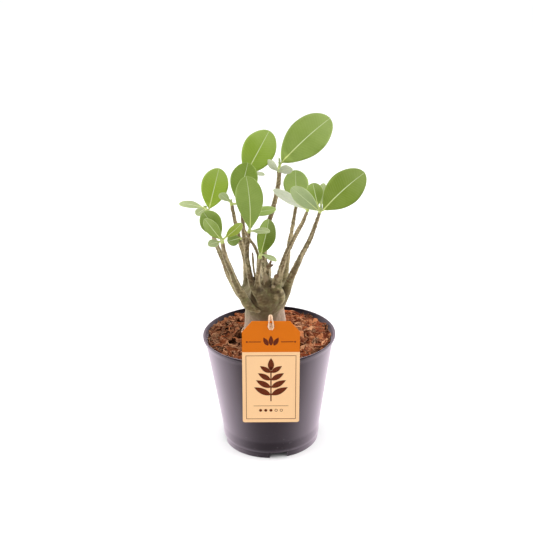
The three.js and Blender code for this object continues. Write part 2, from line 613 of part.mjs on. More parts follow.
// ---------------------------------------------------------------- assembly
place("pot", makePot(), MATERIALS.pot);
place("growing_medium", makeSoil(), MATERIALS.soil);
place("trunk_and_branches", makeTrunk(), MATERIALS.bark);
for (const [name, spray] of Object.entries(SPRAYS)) place(name, makeSpray(spray), MATERIALS.leaf);
for (const [name, entry] of Object.entries(SIDE_LEAVES)) place(name, leaf(entry), MATERIALS.leaf);
place("hang_tag", makeTag(), MATERIALS.tag);
place("tag_tie", makeTie(), MATERIALS.cord);

export default plant;
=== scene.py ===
import math
from itertools import combinations, product

import bmesh
import bpy
import numpy as np
from mathutils import Euler, Matrix, Vector, geometry, kdtree, noise


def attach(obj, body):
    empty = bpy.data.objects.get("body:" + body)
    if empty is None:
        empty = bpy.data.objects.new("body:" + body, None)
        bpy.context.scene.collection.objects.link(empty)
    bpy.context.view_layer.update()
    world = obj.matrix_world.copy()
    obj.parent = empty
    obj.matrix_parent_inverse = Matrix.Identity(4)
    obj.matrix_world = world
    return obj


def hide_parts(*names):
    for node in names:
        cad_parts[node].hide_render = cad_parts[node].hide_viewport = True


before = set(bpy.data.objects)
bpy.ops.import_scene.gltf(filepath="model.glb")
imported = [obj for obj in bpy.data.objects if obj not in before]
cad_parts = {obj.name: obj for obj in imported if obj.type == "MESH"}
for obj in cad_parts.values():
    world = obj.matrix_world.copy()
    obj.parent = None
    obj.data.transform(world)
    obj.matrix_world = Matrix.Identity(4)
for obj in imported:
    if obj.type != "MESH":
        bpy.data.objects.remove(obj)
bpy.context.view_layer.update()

MM = 0.001
SEED = 20

# ------------------------------------------------------------------ sizes
CLEAR = 0.3
POT_HEIGHT = 105
LIP_RADIUS = 60
LIP_DROP = 3.6
LIP_FOOT = POT_HEIGHT - LIP_DROP
LIP_INNER_RADIUS = 58.5
WALL_TOP_RADIUS = 58
WALL_BEND = (45, 16)
WALL_FOOT_RADIUS = 44.4
WALL = 1.4
FOOT_HEIGHT = 6
FOOT_RADIUS = 43.6
FOOT_WALL = 2.2
FLOOR_UNDERSIDE = 5
FLOOR_TOP = 6.6
NOTCH_WIDTH = 16
NOTCH_HEIGHT = 5
NOTCH_COUNT = 4
FRONT_NOTCH_ANGLE = math.radians(-82)
DRAIN_RADIUS = 4
DRAIN_CIRCLE = 29
POT_SIDES = 180

BED_EDGE = 94.5  # height of the plain bed at the wall
CHIP_TOP_LIMIT = 104.2

TRUNK_X = -3.3
TAG_WIDTH = 49
TAG_HEIGHT = 96.5
TAG_THICKNESS = 0.8
TAG_BOTTOM_Z = 47.5
TAG_CENTRE_X = 0.7
TAG_TWIST = math.radians(1.1)
TAG_SHOULDER = (8.5, 10)  # what the top corners lose, across and down
TAG_CORNER = 2
TAG_HOLE_RADIUS = 3
TAG_HOLE_DROP = 4.4
TAG_BACK_Y = -(LIP_RADIUS + CLEAR + 0.05)
TAG_BAND = 28.6  # height of the orange band

CORD_RADIUS = 0.6
CORD_RING_Z = 106.5
TRUNK_RADIUS_AT_TIE = 19.8
TIE_RING_OPENING = 8  # degrees to each side of the front where the strands leave the ring
TIE_RING_SPANS = 14

# Radius and height of the trunk, from the sunk root to the top of the swollen head.
TRUNK_PROFILE = [
    (0, 62), (13, 62), (17, 70), (20.5, 82), (21.5, 92), (20.8, 100), (19.8, 106.5), (18.6, 117), (17.7, 125),
    (17.3, 130), (18, 133.5), (19, 137.5), (20.6, 142.5), (19.6, 147), (16, 151.5), (10, 154.5), (0, 156),
]

# Each branch is a list of (x, y, z, radius), from inside the head to its tip.
BRANCHES = {
    "farLeft": [(-20, -2, 140, 5), (-27, 0, 146.5, 4), (-31, 4, 152.5, 3.3), (-35, 8, 158.5, 2.8),
                (-39, 14, 169, 2.4), (-43.5, 19, 178.5, 2.2), (-48.5, 25, 191, 1.8), (-53.5, 34, 209.5, 1.4)],
    "left": [(-9.2, -17.2, 134.8, 2.3), (-13.6, -18, 137, 3.4), (-18.4, -18.6, 141.5, 4.2),
             (-24.2, -19, 152.5, 3.8), (-28.9, -19, 164.5, 2.9), (-33, -20, 177.5, 2.4),
             (-36.4, -22, 188.5, 2.2), (-38, -25, 201.5, 1.9)],
    "leftRear": [(-15, 4, 137, 6), (-18.3, 5, 148, 4.2), (-19.4, 5.5, 158, 3), (-19.8, 6, 170, 2.3),
                 (-21, 7, 179, 2.1), (-23.6, 7, 189, 2), (-27.6, 8, 208.5, 1.7), (-30, 8, 223.5, 1.6)],
    "front": [(-7.5, -13, 143.5, 4.8), (-10.4, -15, 151.5, 4.4), (-13.2, -15, 157.5, 3.7),
              (-14.9, -14.8, 162.5, 3.1), (-16.6, -14, 171.5, 2.5), (-17.7, -12.8, 181, 2.3),
              (-17.9, -12, 190, 2.3), (-16.5, -13, 199.5, 2), (-15.5, -15, 206.5, 1.7)],
    "fork": [(-17.5, -10.5, 189, 2.2), (-20, -7, 199, 2), (-20.5, -1, 209, 1.7), (-21, 5, 218, 1.5),
             (-19, 14, 231.5, 1.3), (-16.8, 21, 243, 1.2)],
    "tall": [(-2, 3, 139, 9), (-2, 5, 148, 7), (-2.8, 7, 155, 4.8), (-3.3, 10, 164, 3.3),
             (-3, 12.5, 175, 2.7), (-0.8, 16.5, 197.5, 2.3), (4, 18, 211, 2.2), (8.2, 20, 226, 2.1),
             (11, 22, 239, 2), (12, 24, 250.5, 1.8)],
    "centre": [(-4.8, -14.5, 143.5, 4.6), (-7.2, -16.5, 149.5, 3.9), (-9.2, -17.2, 155.5, 3.0),
               (-9.3, -17.8, 162, 2.4), (-8.3, -18.7, 172.5, 2), (-6.8, -19.8, 184.5, 1.7)],
    "farRight": [(10.5, -5, 137, 5), (15, -7.5, 147, 4.4), (18.8, -10, 159, 3.5), (24.2, -13, 172.5, 2.9),
                 (29, -16, 184.5, 2.4), (37, -20, 202.5, 2), (42.5, -24, 220, 1.7), (44.5, -26, 227, 1.5)],
    "right": [(4, -8, 145, 6), (7.3, -12, 154, 4.2), (9.2, -14, 162, 3.3), (11.2, -15, 170, 2.9),
              (14, -16, 180.5, 2.5), (17, -17, 189, 2.2), (20.9, -18, 197.5, 2), (25.7, -20, 208, 1.8),
              (30.5, -22, 217.5, 1.7), (34, -24, 227.5, 1.4)],
    "rightRear": [(9, 6, 138, 7), (12.5, 10, 148, 4.4), (15, 12, 154.5, 3.2), (17, 14, 162, 2.4),
                  (18.5, 16, 171.5, 2), (19.3, 18, 182.5, 1.9), (22, 20, 194, 1.8), (26.1, 24.4, 215.5, 1.6)],
    "sideShoot": [(-8.2, -18, 174, 1.7), (-8.3, -17.8, 187, 1.4), (-10.5, -18.5, 194.4, 1.35),
                  (-14.2, -19.4, 201, 1.25), (-17.6, -20.2, 208, 1.15), (-20.4, -21, 214.4, 0.85)],
}

# Dead twigs and cut stubs on the head, as rows of (x, y, z, radius).
STUBS = [
    [(-8.5, -13, 150, 1.8), (-10.5, -14, 161.5, 1.2), (-12, -15, 170.5, 1.0), (-12.7, -15, 180, 1.1),
     (-12.9, -15, 188, 0.85)],
    [(-1.5, -2, 153, 2.6), (-0.8, -6, 163, 1.7), (0, -9, 169.5, 1.5), (1.6, -9, 173.5, 1.4),
     (2.9, -9, 177.6, 1.0)],
    [(0.3, -9, 169.5, 1.0), (-0.7, -10, 174, 0.8)],
    [(1.6, -9, 172, 1.0), (4.5, -9.5, 174.5, 0.8)],
    [(5, -11, 156, 2.8), (6, -14, 161.5, 2.2), (7, -16.5, 167, 1.5)],
    [(6, -9, 142, 5.5), (8, -13, 148, 4.6), (8, -15.5, 154, 3)],
]

# The smooth mound in the middle of the head and the ridge from it to the tall branch, as (x, y, z, radius).
MOUND = [
    (-3, -4, 149, 9), (-2.7, -8.6, 153, 6.4), (-2.2, -9.2, 157.5, 4.9), (-1.6, -8.2, 162.2, 4.0),
    (-1.6, -3.2, 163.4, 4.7), (-2.0, 2.6, 164.2, 5.0), (-2.8, 8, 166, 4.4),
]

# Round lumps on the right of the head, as rows of (x, y, z, radius).
LUMPS = [
    [(5.4, -15.2, 143.5, 3.3), (6.2, -16.6, 147.5, 3.1)],
    [(10.6, -13.6, 142.5, 3.4), (11.2, -14.4, 146.8, 3.1)],
    [(5.6, -13.5, 152, 2.7), (4.9, -16.2, 156.4, 1.9)],
    [(10.4, -13.0, 150, 2.8), (10.8, -15.4, 152.6, 2.0)],
]

# Marks on the head, as (x, y, z, radius, strength): dark below 0 and pale above. The dark ones are partly
# real stains and a scar and partly painted shade, under the left toe, along the cleft and beside the mound;
# the pale ones are callus and one painted highlight on the front foot.
BLOTCHES = [
    (-7.8, -19.2, 154.8, 5.8, -1.0), (-15.5, -17, 132.6, 5.2, -1.2), (-4.0, -17.5, 147, 5.0, -1),
    (8.6, -18.0, 152.5, 2.8, -1), (-15.3, -16.5, 152, 2.6, -1.2), (-13.3, -18.6, 147, 2.6, -1.2),
    (-11, -20.4, 142.4, 2.3, -1.2),
    (-2.0, -12.5, 163, 4.8, 1), (4.6, -18.0, 157.2, 2.4, 1), (11.2, -17.5, 152, 1.7, 1),
    # painted highlight on the front foot
    (-8.0, -20.5, 147, 3.4, 0.45),
]

# The dark cleft between the feet of the left and front limbs, as (x, y, z, radius).
CLEFT = [
    (-16.4, -15.2, 155.5, 1.1), (-14.5, -17.4, 149.5, 1.5), (-12.2, -19.7, 144.5, 1.5),
    (-9.8, -21.3, 140, 0.7),
]

# Leaf colours: the upper side, and the side beneath. Besides the leaves' own greens, they are lighter and
# darker
# copies of one green, set for each leaf: painted light and shade.
TONES = {
    "light": ((0.198, 0.278, 0.050), (0.285, 0.370, 0.140)),
    "rear": ((0.288, 0.388, 0.104), (0.290, 0.375, 0.145)),
    "mid": ((0.220, 0.322, 0.032), (0.280, 0.365, 0.130)),
    "shade": ((0.164, 0.240, 0.030), (0.265, 0.345, 0.130)),
    "bright": ((0.226, 0.326, 0.026), (0.280, 0.370, 0.120)),
    "fresh": ((0.225, 0.290, 0.024), (0.34, 0.41, 0.17)),
    "deep": ((0.166, 0.246, 0.032), (0.260, 0.340, 0.125)),
    "dark": ((0.134, 0.200, 0.013), (0.250, 0.330, 0.115)),
    "soft": ((0.190, 0.271, 0.048), (0.35, 0.42, 0.20)),
    "dim": ((0.152, 0.218, 0.044), (0.35, 0.42, 0.20)),
    "pale": ((0.300, 0.348, 0.166), (0.355, 0.40, 0.215)),
    "silver": ((0.545, 0.562, 0.440), (0.55, 0.565, 0.46)),
    "tin": ((0.420, 0.445, 0.320), (0.43, 0.455, 0.335)),
    "beneath": ((0.240, 0.340, 0.070), (0.258, 0.322, 0.142)),
}

# `widest` is where the blade is widest, `blunt` is small for a round margin, `fold` lifts the margins, `curl`
# bends the tip down, `bow` bends it sideways, `ripe` paints a highlight towards the tip, and `halves` paints
# light and shade on the two halves.
LEAF_DEFAULTS = dict(widest=0.58, blunt=0.6, fold=0.12, curl=0.045, bow=0, ripe=1, halves=(1, 1))


def leaf(base, tip, width, face, tone, **more):
    """A leaf's numbers. `face` is the way that its upper side looks, and `more` overrules LEAF_DEFAULTS."""
    return dict(LEAF_DEFAULTS, base=base, tip=tip, width=width, face=face, tone=tone, **more)


# The leaves of each node, with the branch that they end or, for a single leaf, the root of its petiole.
SPRAYS = {
    "leaves_tall_branch": ("tall", [
        leaf((14.3, 25, 256.9), (57.9, 42, 291.6), 34, (0.1, -1, 0.5), "light", widest=0.55, bow=-1.2),
        leaf((11, 19, 250.6), (1.8, 12, 263.4), 6.6, (-0.5, 0.9, 0.1), "tin", widest=0.55, blunt=0.8),
        leaf((11.4, 19, 250.6), (23.6, 12, 254.8), 9, (0.3, 0.9, 0.2), "tin", widest=0.5, blunt=0.75),
        leaf((12.8, 24, 256), (11.8, 22, 262.2), 1.8, (0, -1, 0), "pale"),
    ]),
    "leaves_fork": ("fork", [
        leaf((-17.2, 22.5, 248.2), (3.9, 36, 282.9), 29, (0, -1, 0.5), "mid", widest=0.55, bow=0.3),
        leaf((-14.5, 21, 248.5), (-1, 14, 249.5), 7, (0, -0.3, 1), "tin"),
    ]),
    "leaves_left_rear_branch": ("leftRear", [
        leaf((-24.4, 7.5, 227.3), (-15.1, 9, 261.3), 23.8, (0.1, -1, 0.3), "deep", widest=0.6, ripe=0.5),
        leaf((-32, 7, 228), (-40, 1, 237.5), 7.5, (-0.4, 0.5, 0.5), "soft"),
    ]),
    "leaves_front_branch": ("front", [
        leaf((-14.5, -16.5, 210), (-16.4, -20, 258), 23.5, (0, -1, 0.2), "soft", widest=0.62, bow=1.5,
             curl=0.02, ripe=0.3),
        leaf((-12.5, -17.5, 209), (2, -29, 212.5), 8, (0, -0.5, 0.9), "pale"),
    ]),
    "leaves_far_left_branch": ("farLeft", [
        leaf((-51.5, 36, 212), (-41.7, 45, 247), 24.5, (0, -1, 0.4), "bright"),
        leaf((-57, 35.5, 213.4), (-79.6, 47, 214.9), 8.5, (0, -0.6, 0.8), "pale"),
        leaf((-55, 32, 213.3), (-62.8, 25, 210.3), 9, (-0.3, -0.8, 0.6), "pale"),
    ]),
    "leaves_left_branch": ("left", [
        leaf((-39.1, -26.5, 208), (-52.3, -33, 231.9), 18.2, (0.1, -1, 0.3), "shade", widest=0.62),
        leaf((-39.5, -29, 206.8), (-51, -40, 228), 11, (0.2, -1, 0.1), "light"),
        leaf((-40.3, -28.5, 204), (-49.5, -36, 204), 8, (0.2, -0.6, 0.7), "pale"),
        leaf((-34.8, -27, 207.5), (-21, -31, 220.5), 9.5, (0.3, -1, 0), "fresh"),
    ]),
    "leaves_centre_branch": ("centre", [
        leaf((-6, -20.8, 188.9), (2.2, -10, 216.5), 17.6, (0.45, -1, 0.25), "dark", widest=0.55, fold=0.3,
             halves=(1.04, 0.70)),
        leaf((-3.8, -21.5, 188.7), (7.5, -30, 186.2), 6, (0, -0.4, 1), "pale"),
    ]),
    "leaves_far_right_branch": ("farRight", [
        leaf((47.8, -28, 230.2), (78.9, -46, 266.3), 28.2, (-0.1, -1, 0.3), "dark", bow=-1.3),
        leaf((43, -28, 229.8), (20.2, -39, 254), 13.5, (-0.2, 1, -0.1), "beneath", widest=0.55),
        leaf((43, -24, 232.5), (39.4, -12, 249), 14.5, (0, -1, 0.4), "shade", widest=0.6,
             halves=(1.05, 0.85)),
        leaf((45.6, -24, 232.5), (48.8, -10, 248.2), 8, (0, -1, 0.5), "pale"),
    ]),
    "leaves_right_branch": ("right", [
        leaf((33, -24, 229.8), (6.2, -18, 245.9), 8.6, (-0.2, 1, 0.1), "silver"),
    ]),
    "leaves_right_rear_branch": ("rightRear", [
        leaf((27, 25.5, 218), (26.3, 34, 247), 22.5, (0, -1, 0.4), "rear", widest=0.6),
    ]),
    "leaf_low_on_fork": ((-22.3, -8.3, 198.3), [
        leaf((-23.3, -9.2, 199.8), (-34.2, -14, 198.6), 10.8, (0, -1, 0.5), "dim"),
    ]),
    "leaf_high_on_fork": ((-19, 4.6, 217.8), [
        leaf((-17, 4.4, 218.2), (8.3, 3, 221.5), 8.5, (0, -1, 0.4), "rear", bow=0.5),
    ]),
}

# Bark chips that show best: (length, width, thickness), centre, turn in degrees, colour.
NAMED_CHIPS = [
    ((14.5, 11, 5.5), (34, -26.5, 100.2), (26, -3, 3), "straw"),
    ((15, 12, 4.5), (-32, -29, 100.6), (27, 9, -10), "orange"),
    ((14, 6, 3), (-51, 11, 101), (8, 14, 18), "tan"),
    ((13, 5, 2.6), (-45, 18, 101.4), (10, 20, -28), "straw"),
    ((16, 7, 3.5), (40, 6, 101), (12, -14, 25), "rust"),
    ((14, 8, 3.5), (-27, 45, 101), (-14, 24, -60), "orange"),
    ((13, 8, 3.5), (24, -43, 100.5), (22, 12, -30), "rust"),
    ((15, 3.4, 1.8), (44, -10, 103), (6, 10, -12), "tan"),
    ((14, 3.2, 1.8), (50, -17, 102.6), (4, 12, 62), "straw"),
    ((17, 8, 3), (38, 40, 101), (-18, 12, -30), "orange"),
    ((12, 6, 3), (-24, -8, 101.6), (26, 30, 40), "tan"),
]
CHIP_TONES = {
    "dark": (0.020, 0.0045, 0.002),
    "umber": (0.088, 0.018, 0.007),
    "rust": (0.190, 0.040, 0.014),
    "orange": (0.350, 0.086, 0.026),
    "tan": (0.450, 0.165, 0.070),
    "straw": (0.520, 0.260, 0.135),
}
CHIP_MIX = ["dark"] * 6 + ["umber"] * 7 + ["rust"] * 8 + ["orange"] * 6 + ["tan"] * 4 + ["straw"] * 2
# Scattered chips: count, ranges of length, width, thickness and height over the bed, and spread of tilt.
CHIP_GROUPS = [
    (60, (5, 11), (2.5, 6), (0.9, 2.2), (1.0, 4.0), 20),
    (84, (10, 19), (6, 12), (2.6, 5.6), (3.0, 7.8), 32),
    (56, (9, 18), (2.2, 4.6), (1.6, 3.0), (5.0, 8.6), 24),
]
CHIP_REACH = (21, 55)  # radii between which chips are scattered
TRUNK_GAP = 22
RIM_CHIPS = 64
RIM_REACH = (52, 57)
RIM_HEIGHTS = ((99, 101.5), (102.4, 104))  # of every fifth chip, and of the others
BED_RELIEF = 7.5
LEFT_HOLLOW = 2.0  # how far the chips to the left of the trunk lie lower
LEFT_SHADE = 0.70  # painted shade: how much darker the chips far on the left are
FIBRE_COUNT = 80
FIBRE_TONES = ("straw", "tan", "orange", "tan", "rust")
# Radius and height of the hole for the root, and heights of the bed's rings along the wall.
ROOT_HOLE = [(0, 61.7), (13.3, 61.7), (17.3, 70), (20.8, 82), (21.8, 92), (21.4, 95)]
BED_HEIGHTS = (12, 16, 30, 45, 60, 75, 88)

# Colours of the materials, as tints or as pairs that noise mixes.
POT = dict(
    sheen=(1.0, 0.84, 0.98, 1), plastic=((0.004, 0.002, 0.003), (0.008, 0.0045, 0.0065)),
    dust=(0.3, 0.24, 0.22), scuff=(0.26, 0.24, 0.25),
)
# Bark: the colours of raised ridges and small bumps are painted highlights, those of pits and hollows painted
# shade; the dark blotch colour is partly stains and partly painted shade, the pale one callus and a painted
# highlight, and the pale stem streaks are partly painted highlight.
BARK = dict(
    gloss=(1.0, 0.82, 0.66, 1), sheen=((1.0, 0.76, 0.62), (1.0, 0.92, 0.60)),
    trunk=((0.088, 0.057, 0.029), (0.122, 0.082, 0.046)), head=((0.068, 0.050, 0.020), (0.120, 0.096, 0.042)),
    green=(0.150, 0.152, 0.058), brown=(0.070, 0.042, 0.019), ridge_highlight=(0.300, 0.252, 0.125),
    dark_streak=((0.074, 0.042, 0.019), (0.080, 0.070, 0.030)), streak=(0.460, 0.375, 0.230),
    twig=((0.056, 0.031, 0.013), (0.230, 0.165, 0.092)), speck=(0.048, 0.032, 0.014),
    bump_highlight=(0.37, 0.30, 0.17), pit=(0.040, 0.025, 0.010), hollow=(0.026, 0.015, 0.006),
    stain_and_shade=(0.030, 0.017, 0.007), callus_and_highlight=((0.22, 0.165, 0.098), (0.40, 0.31, 0.21)),
    scar=(0.085, 0.034, 0.015), wound=((0.055, 0.024, 0.011), (0.19, 0.11, 0.058)),
)
LEAF = dict(
    speck=(0.10, 0.17, 0.02), ripe=(0.42, 0.50, 0.22), foot=(0.40, 0.46, 0.07), vein=(0.46, 0.54, 0.22),
    margin=(0.56, 0.62, 0.32), rib=((0.60, 0.66, 0.22), (0.62, 0.70, 0.40)),
    petiole=((0.40, 0.46, 0.13), (0.56, 0.60, 0.26)), young=(0.28, 0.36, 0.06),
)
# What differs between the two sides of a leaf.
LEAF_SIDES = [
    dict(name="leaf_upper", tone="tone", mottle=(0.42, 0.50, 0.16), rib=0.86, roughness=(0.44, 0.56),
         vein_relief=-1.0, rib_relief=-1.0),
    dict(name="leaf_under", tone="tone_under", mottle=(0.50, 0.55, 0.34), rib=0.75, roughness=(0.6, 0.72),
         vein_relief=1.0, rib_relief=1.6),
]
CHIP = dict(
    pale=(0.50, 0.190, 0.085), torn=(0.60, 0.32, 0.18),
    crack=(0.024, 0.005, 0.002), dirt=(0.050, 0.010, 0.004),
)
TAG = dict(
    cream=((0.755, 0.472, 0.248), (0.82, 0.527, 0.285)),
    orange=((0.535, 0.122, 0.0012), (0.600, 0.144, 0.0025)),
    ink=((0.085, 0.012, 0.002), (0.135, 0.024, 0.004)), cord=((0.60, 0.36, 0.20), (0.86, 0.66, 0.50)),
)
FLOOR_WHITE = ((0.92, 0.92, 0.92), (0.94, 0.94, 0.94))

# Heights in metres between which one kind of bark turns to the next.
HEAD_STARTS = (0.119, 0.137)
STEMS_START = (0.150, 0.170)
TWIGS_START = (0.176, 0.208)

rng = np.random.default_rng(SEED)


# ------------------------------------------------------------------ meshes
def unit(v):
    v = np.asarray(v, float)
    return v / np.linalg.norm(v)


def units(rows):
    return rows / np.linalg.norm(rows, axis=1, keepdims=True)


def polar(radius, angle):
    return radius * math.cos(angle), radius * math.sin(angle)


def linked(name, data):
    obj = bpy.data.objects.new(name, data)
    bpy.context.scene.collection.objects.link(obj)
    return obj


def new_object(name, verts, faces, materials=(), slots=None):
    """A mesh object from millimetre points."""
    mesh = bpy.data.meshes.new(name)
    mesh.from_pydata((np.asarray(verts, float) * MM).tolist(), [], [list(map(int, f)) for f in faces])
    mesh.update()
    obj = linked(name, mesh)
    finish_mesh(obj, materials, slots)
    return obj


def finish_mesh(obj, materials=(), slots=None, sharp=None):
    """Gives a mesh its materials and shades it smooth, up to the `sharp` angle in degrees."""
    mesh = obj.data
    for material in materials:
        mesh.materials.append(material)
    if slots is not None:
        mesh.polygons.foreach_set("material_index", np.asarray(slots, np.int32))
    mesh.polygons.foreach_set("use_smooth", np.ones(len(mesh.polygons), bool))
    if sharp is not None:
        mesh.set_sharp_from_angle(angle=math.radians(sharp))
    mesh.update()


def outwards(obj):
    """Turns every closed skin of the object outwards."""
    work = bmesh.new()
    work.from_mesh(obj.data)
    bmesh.ops.recalc_face_normals(work, faces=work.faces)
    work.to_mesh(obj.data)
    work.free()


def solid(name, verts, faces):
    obj = new_object(name, verts, faces)
    outwards(obj)
    return obj


def put(obj, name, values):
    """Stores one number, or one colour, for each point of the mesh."""
    values = np.asarray(values, np.float32)
    if values.ndim == 1:
        obj.data.attributes.new(name, "FLOAT", "POINT").data.foreach_set("value", values)
    else:
        full = np.ones((len(values), 4), np.float32)
        full[:, :3] = values
        obj.data.attributes.new(name, "FLOAT_COLOR", "POINT").data.foreach_set("color", full.ravel())


def apply_modifiers(obj):
    graph = bpy.context.evaluated_depsgraph_get()
    mesh = bpy.data.meshes.new_from_object(obj.evaluated_get(graph))
    obj.modifiers.clear()
    old = obj.data
    obj.data = mesh
    bpy.data.meshes.remove(old)


class Parts:
    """Collects closed skins, with the values of their points, for one mesh."""

    def __init__(self):
        self.verts, self.faces, self.slots, self.values = [], [], [], {}
        self.count = 0

    def add(self, verts, faces, slot=0, **values):
        verts = np.asarray(verts, float)
        self.verts.append(verts)
        self.faces += [[i + self.count for i in face] for face in faces]
        self.slots += list(slot) if np.ndim(slot) else [slot] * len(faces)
        for key, value in values.items():
            value = np.asarray(value, float)
            flat = value.ndim == 0 or (value.ndim == 1 and len(value) == 3 and len(verts) != 3)
            self.values.setdefault(key, []).append(
                np.broadcast_to(value, (len(verts), *np.shape(value))).copy() if flat else value
            )
        self.count += len(verts)

    def build(self, name, materials, sharp=None):
        obj = new_object(name, np.vstack(self.verts), self.faces, materials, self.slots)
        for key, chunks in self.values.items():
            put(obj, key, np.concatenate(chunks))
        outwards(obj)
        if sharp is not None:
            obj.data.set_sharp_from_angle(angle=math.radians(sharp))
        return obj


def catmull(points, steps, closed=False):
    """A centripetal Catmull-Rom curve through rows of numbers, the first three being the place."""
    pts = np.asarray(points, float)
    if closed:
        ring = np.vstack([pts[-1], pts, pts[0], pts[1]])
    else:
        ring = np.vstack([2 * pts[0] - pts[1], pts, 2 * pts[-1] - pts[-2]])
    out = []
    for i in range(len(pts) if closed else len(pts) - 1):
        p0, p1, p2, p3 = ring[i:i + 4]
        spans = ((p0, p1), (p1, p2), (p2, p3))
        d0, d1, d2 = [math.sqrt(max(np.linalg.norm(b[:3] - a[:3]), 1e-6)) for a, b in spans]
        m1 = ((p1 - p0) / d0 - (p2 - p0) / (d0 + d1) + (p2 - p1) / d1) * d1
        m2 = ((p2 - p1) / d1 - (p3 - p1) / (d1 + d2) + (p3 - p2) / d2) * d1
        for t in np.arange(steps) / steps:
            out.append((2 * t**3 - 3 * t**2 + 1) * p1 + (t**3 - 2 * t**2 + t) * m1
                       + (3 * t**2 - 2 * t**3) * p2 + (t**3 - t**2) * m2)
    if not closed:
        out.append(pts[-1])
    return np.array(out)


def frames(centres, closed=False):
    """Tangents and a pair of normals that turn as little as they can along the path."""
    if closed:
        tangents = np.roll(centres, -1, 0) - np.roll(centres, 1, 0)
    else:
        tangents = np.gradient(centres, axis=0)
    tangents = units(tangents)
    helper = (0, 0, 1) if abs(tangents[0][2]) < 0.8 else (0, 1, 0)
    normals = [unit(np.cross(tangents[0], helper))]
    for tangent in tangents[1:]:
        normals.append(unit(normals[-1] - np.dot(normals[-1], tangent) * tangent))
    normals = np.array(normals)
    if closed:
        last = unit(normals[-1] - np.dot(normals[-1], tangents[0]) * tangents[0])
        quarter = np.cross(tangents[0], normals[0])
        twist = math.atan2(np.dot(last, quarter), np.dot(last, normals[0]))
        angles = -twist * np.arange(len(centres)) / len(centres)
        other = np.cross(tangents, normals)
        normals = normals * np.cos(angles)[:, None] + other * np.sin(angles)[:, None]
    return tangents, normals, np.cross(tangents, normals)


def lengths_along(path):
    """The distance from a path's start to each of its rows."""
    steps = np.linalg.norm(np.diff(path[:, :3], axis=0), axis=1)
    return np.concatenate([[0], np.cumsum(steps)])


def tube(path, sides, closed=False):
    """A round skin along rows of (x, y, z, radius)."""
    centres, radii = path[:, :3], path[:, 3]
    _, first, second = frames(centres, closed)
    angles = 2 * np.pi * np.arange(sides) / sides
    cos, sin = np.cos(angles)[None, :, None], np.sin(angles)[None, :, None]
    offsets = first[:, None] * cos + second[:, None] * sin
    verts = (centres[:, None] + offsets * radii[:, None, None]).reshape(-1, 3)
    return verts, ring_faces(len(path), sides, closed)


def ring_faces(rings, sides, closed=False):
    """The faces between rings of points, and the two end caps if the run of rings isn't closed."""
    faces = []
    for i in range(rings if closed else rings - 1):
        for j in range(sides):
            here, ahead, turn = i * sides, (i + 1) % rings * sides, (j + 1) % sides
            faces.append((here + j, here + turn, ahead + turn, ahead + j))
    if not closed:
        faces.append(tuple(range(sides))[::-1])
        faces.append(tuple(range((rings - 1) * sides, rings * sides)))
    return faces


def lathe(profile, sides, centre=(0, 0)):
    """A skin turned round the vertical line at `centre`, from (radius, z) pairs."""
    verts, faces, rows = [], [], []
    for radius, z in profile:
        if radius < 1e-6:
            rows.append([len(verts)])
            verts.append((centre[0], centre[1], z))
        else:
            rows.append(list(range(len(verts), len(verts) + sides)))
            for k in range(sides):
                x, y = polar(radius, 2 * math.pi * k / sides)
                verts.append((centre[0] + x, centre[1] + y, z))
    for low, high in zip(rows, rows[1:]):
        for k in range(sides):
            n = (k + 1) % sides
            if len(low) == 1:
                faces.append((low[0], high[n], high[k]))
            elif len(high) == 1:
                faces.append((low[k], low[n], high[0]))
            else:
                faces.append((low[k], low[n], high[n], high[k]))
    return verts, faces


def smoothed(values, first, second, rounds, share=0.5):
    """Blends each point's value with the mean of its neighbours' along the edges, some rounds over."""
    count = len(values)
    degree = np.maximum(np.bincount(first, minlength=count) + np.bincount(second, minlength=count), 1)
    for _ in range(rounds):
        total = np.stack([
            np.bincount(first, values[second, k], count) + np.bincount(second, values[first, k], count)
            for k in range(values.shape[1])
        ], 1)
        values = values * (1 - share) + share * total / degree[:, None]
    return values


def step(x, low, high):
    """Goes smoothly from 0 at `low` to 1 at `high`."""
    t = np.clip((x - low) / (high - low), 0, 1)
    return t * t * (3 - 2 * t)


# ------------------------------------------------------------------ materials
MIX_INPUTS, MIX_OUTPUT = (6, 7), 2  # the colour sockets of a Mix node


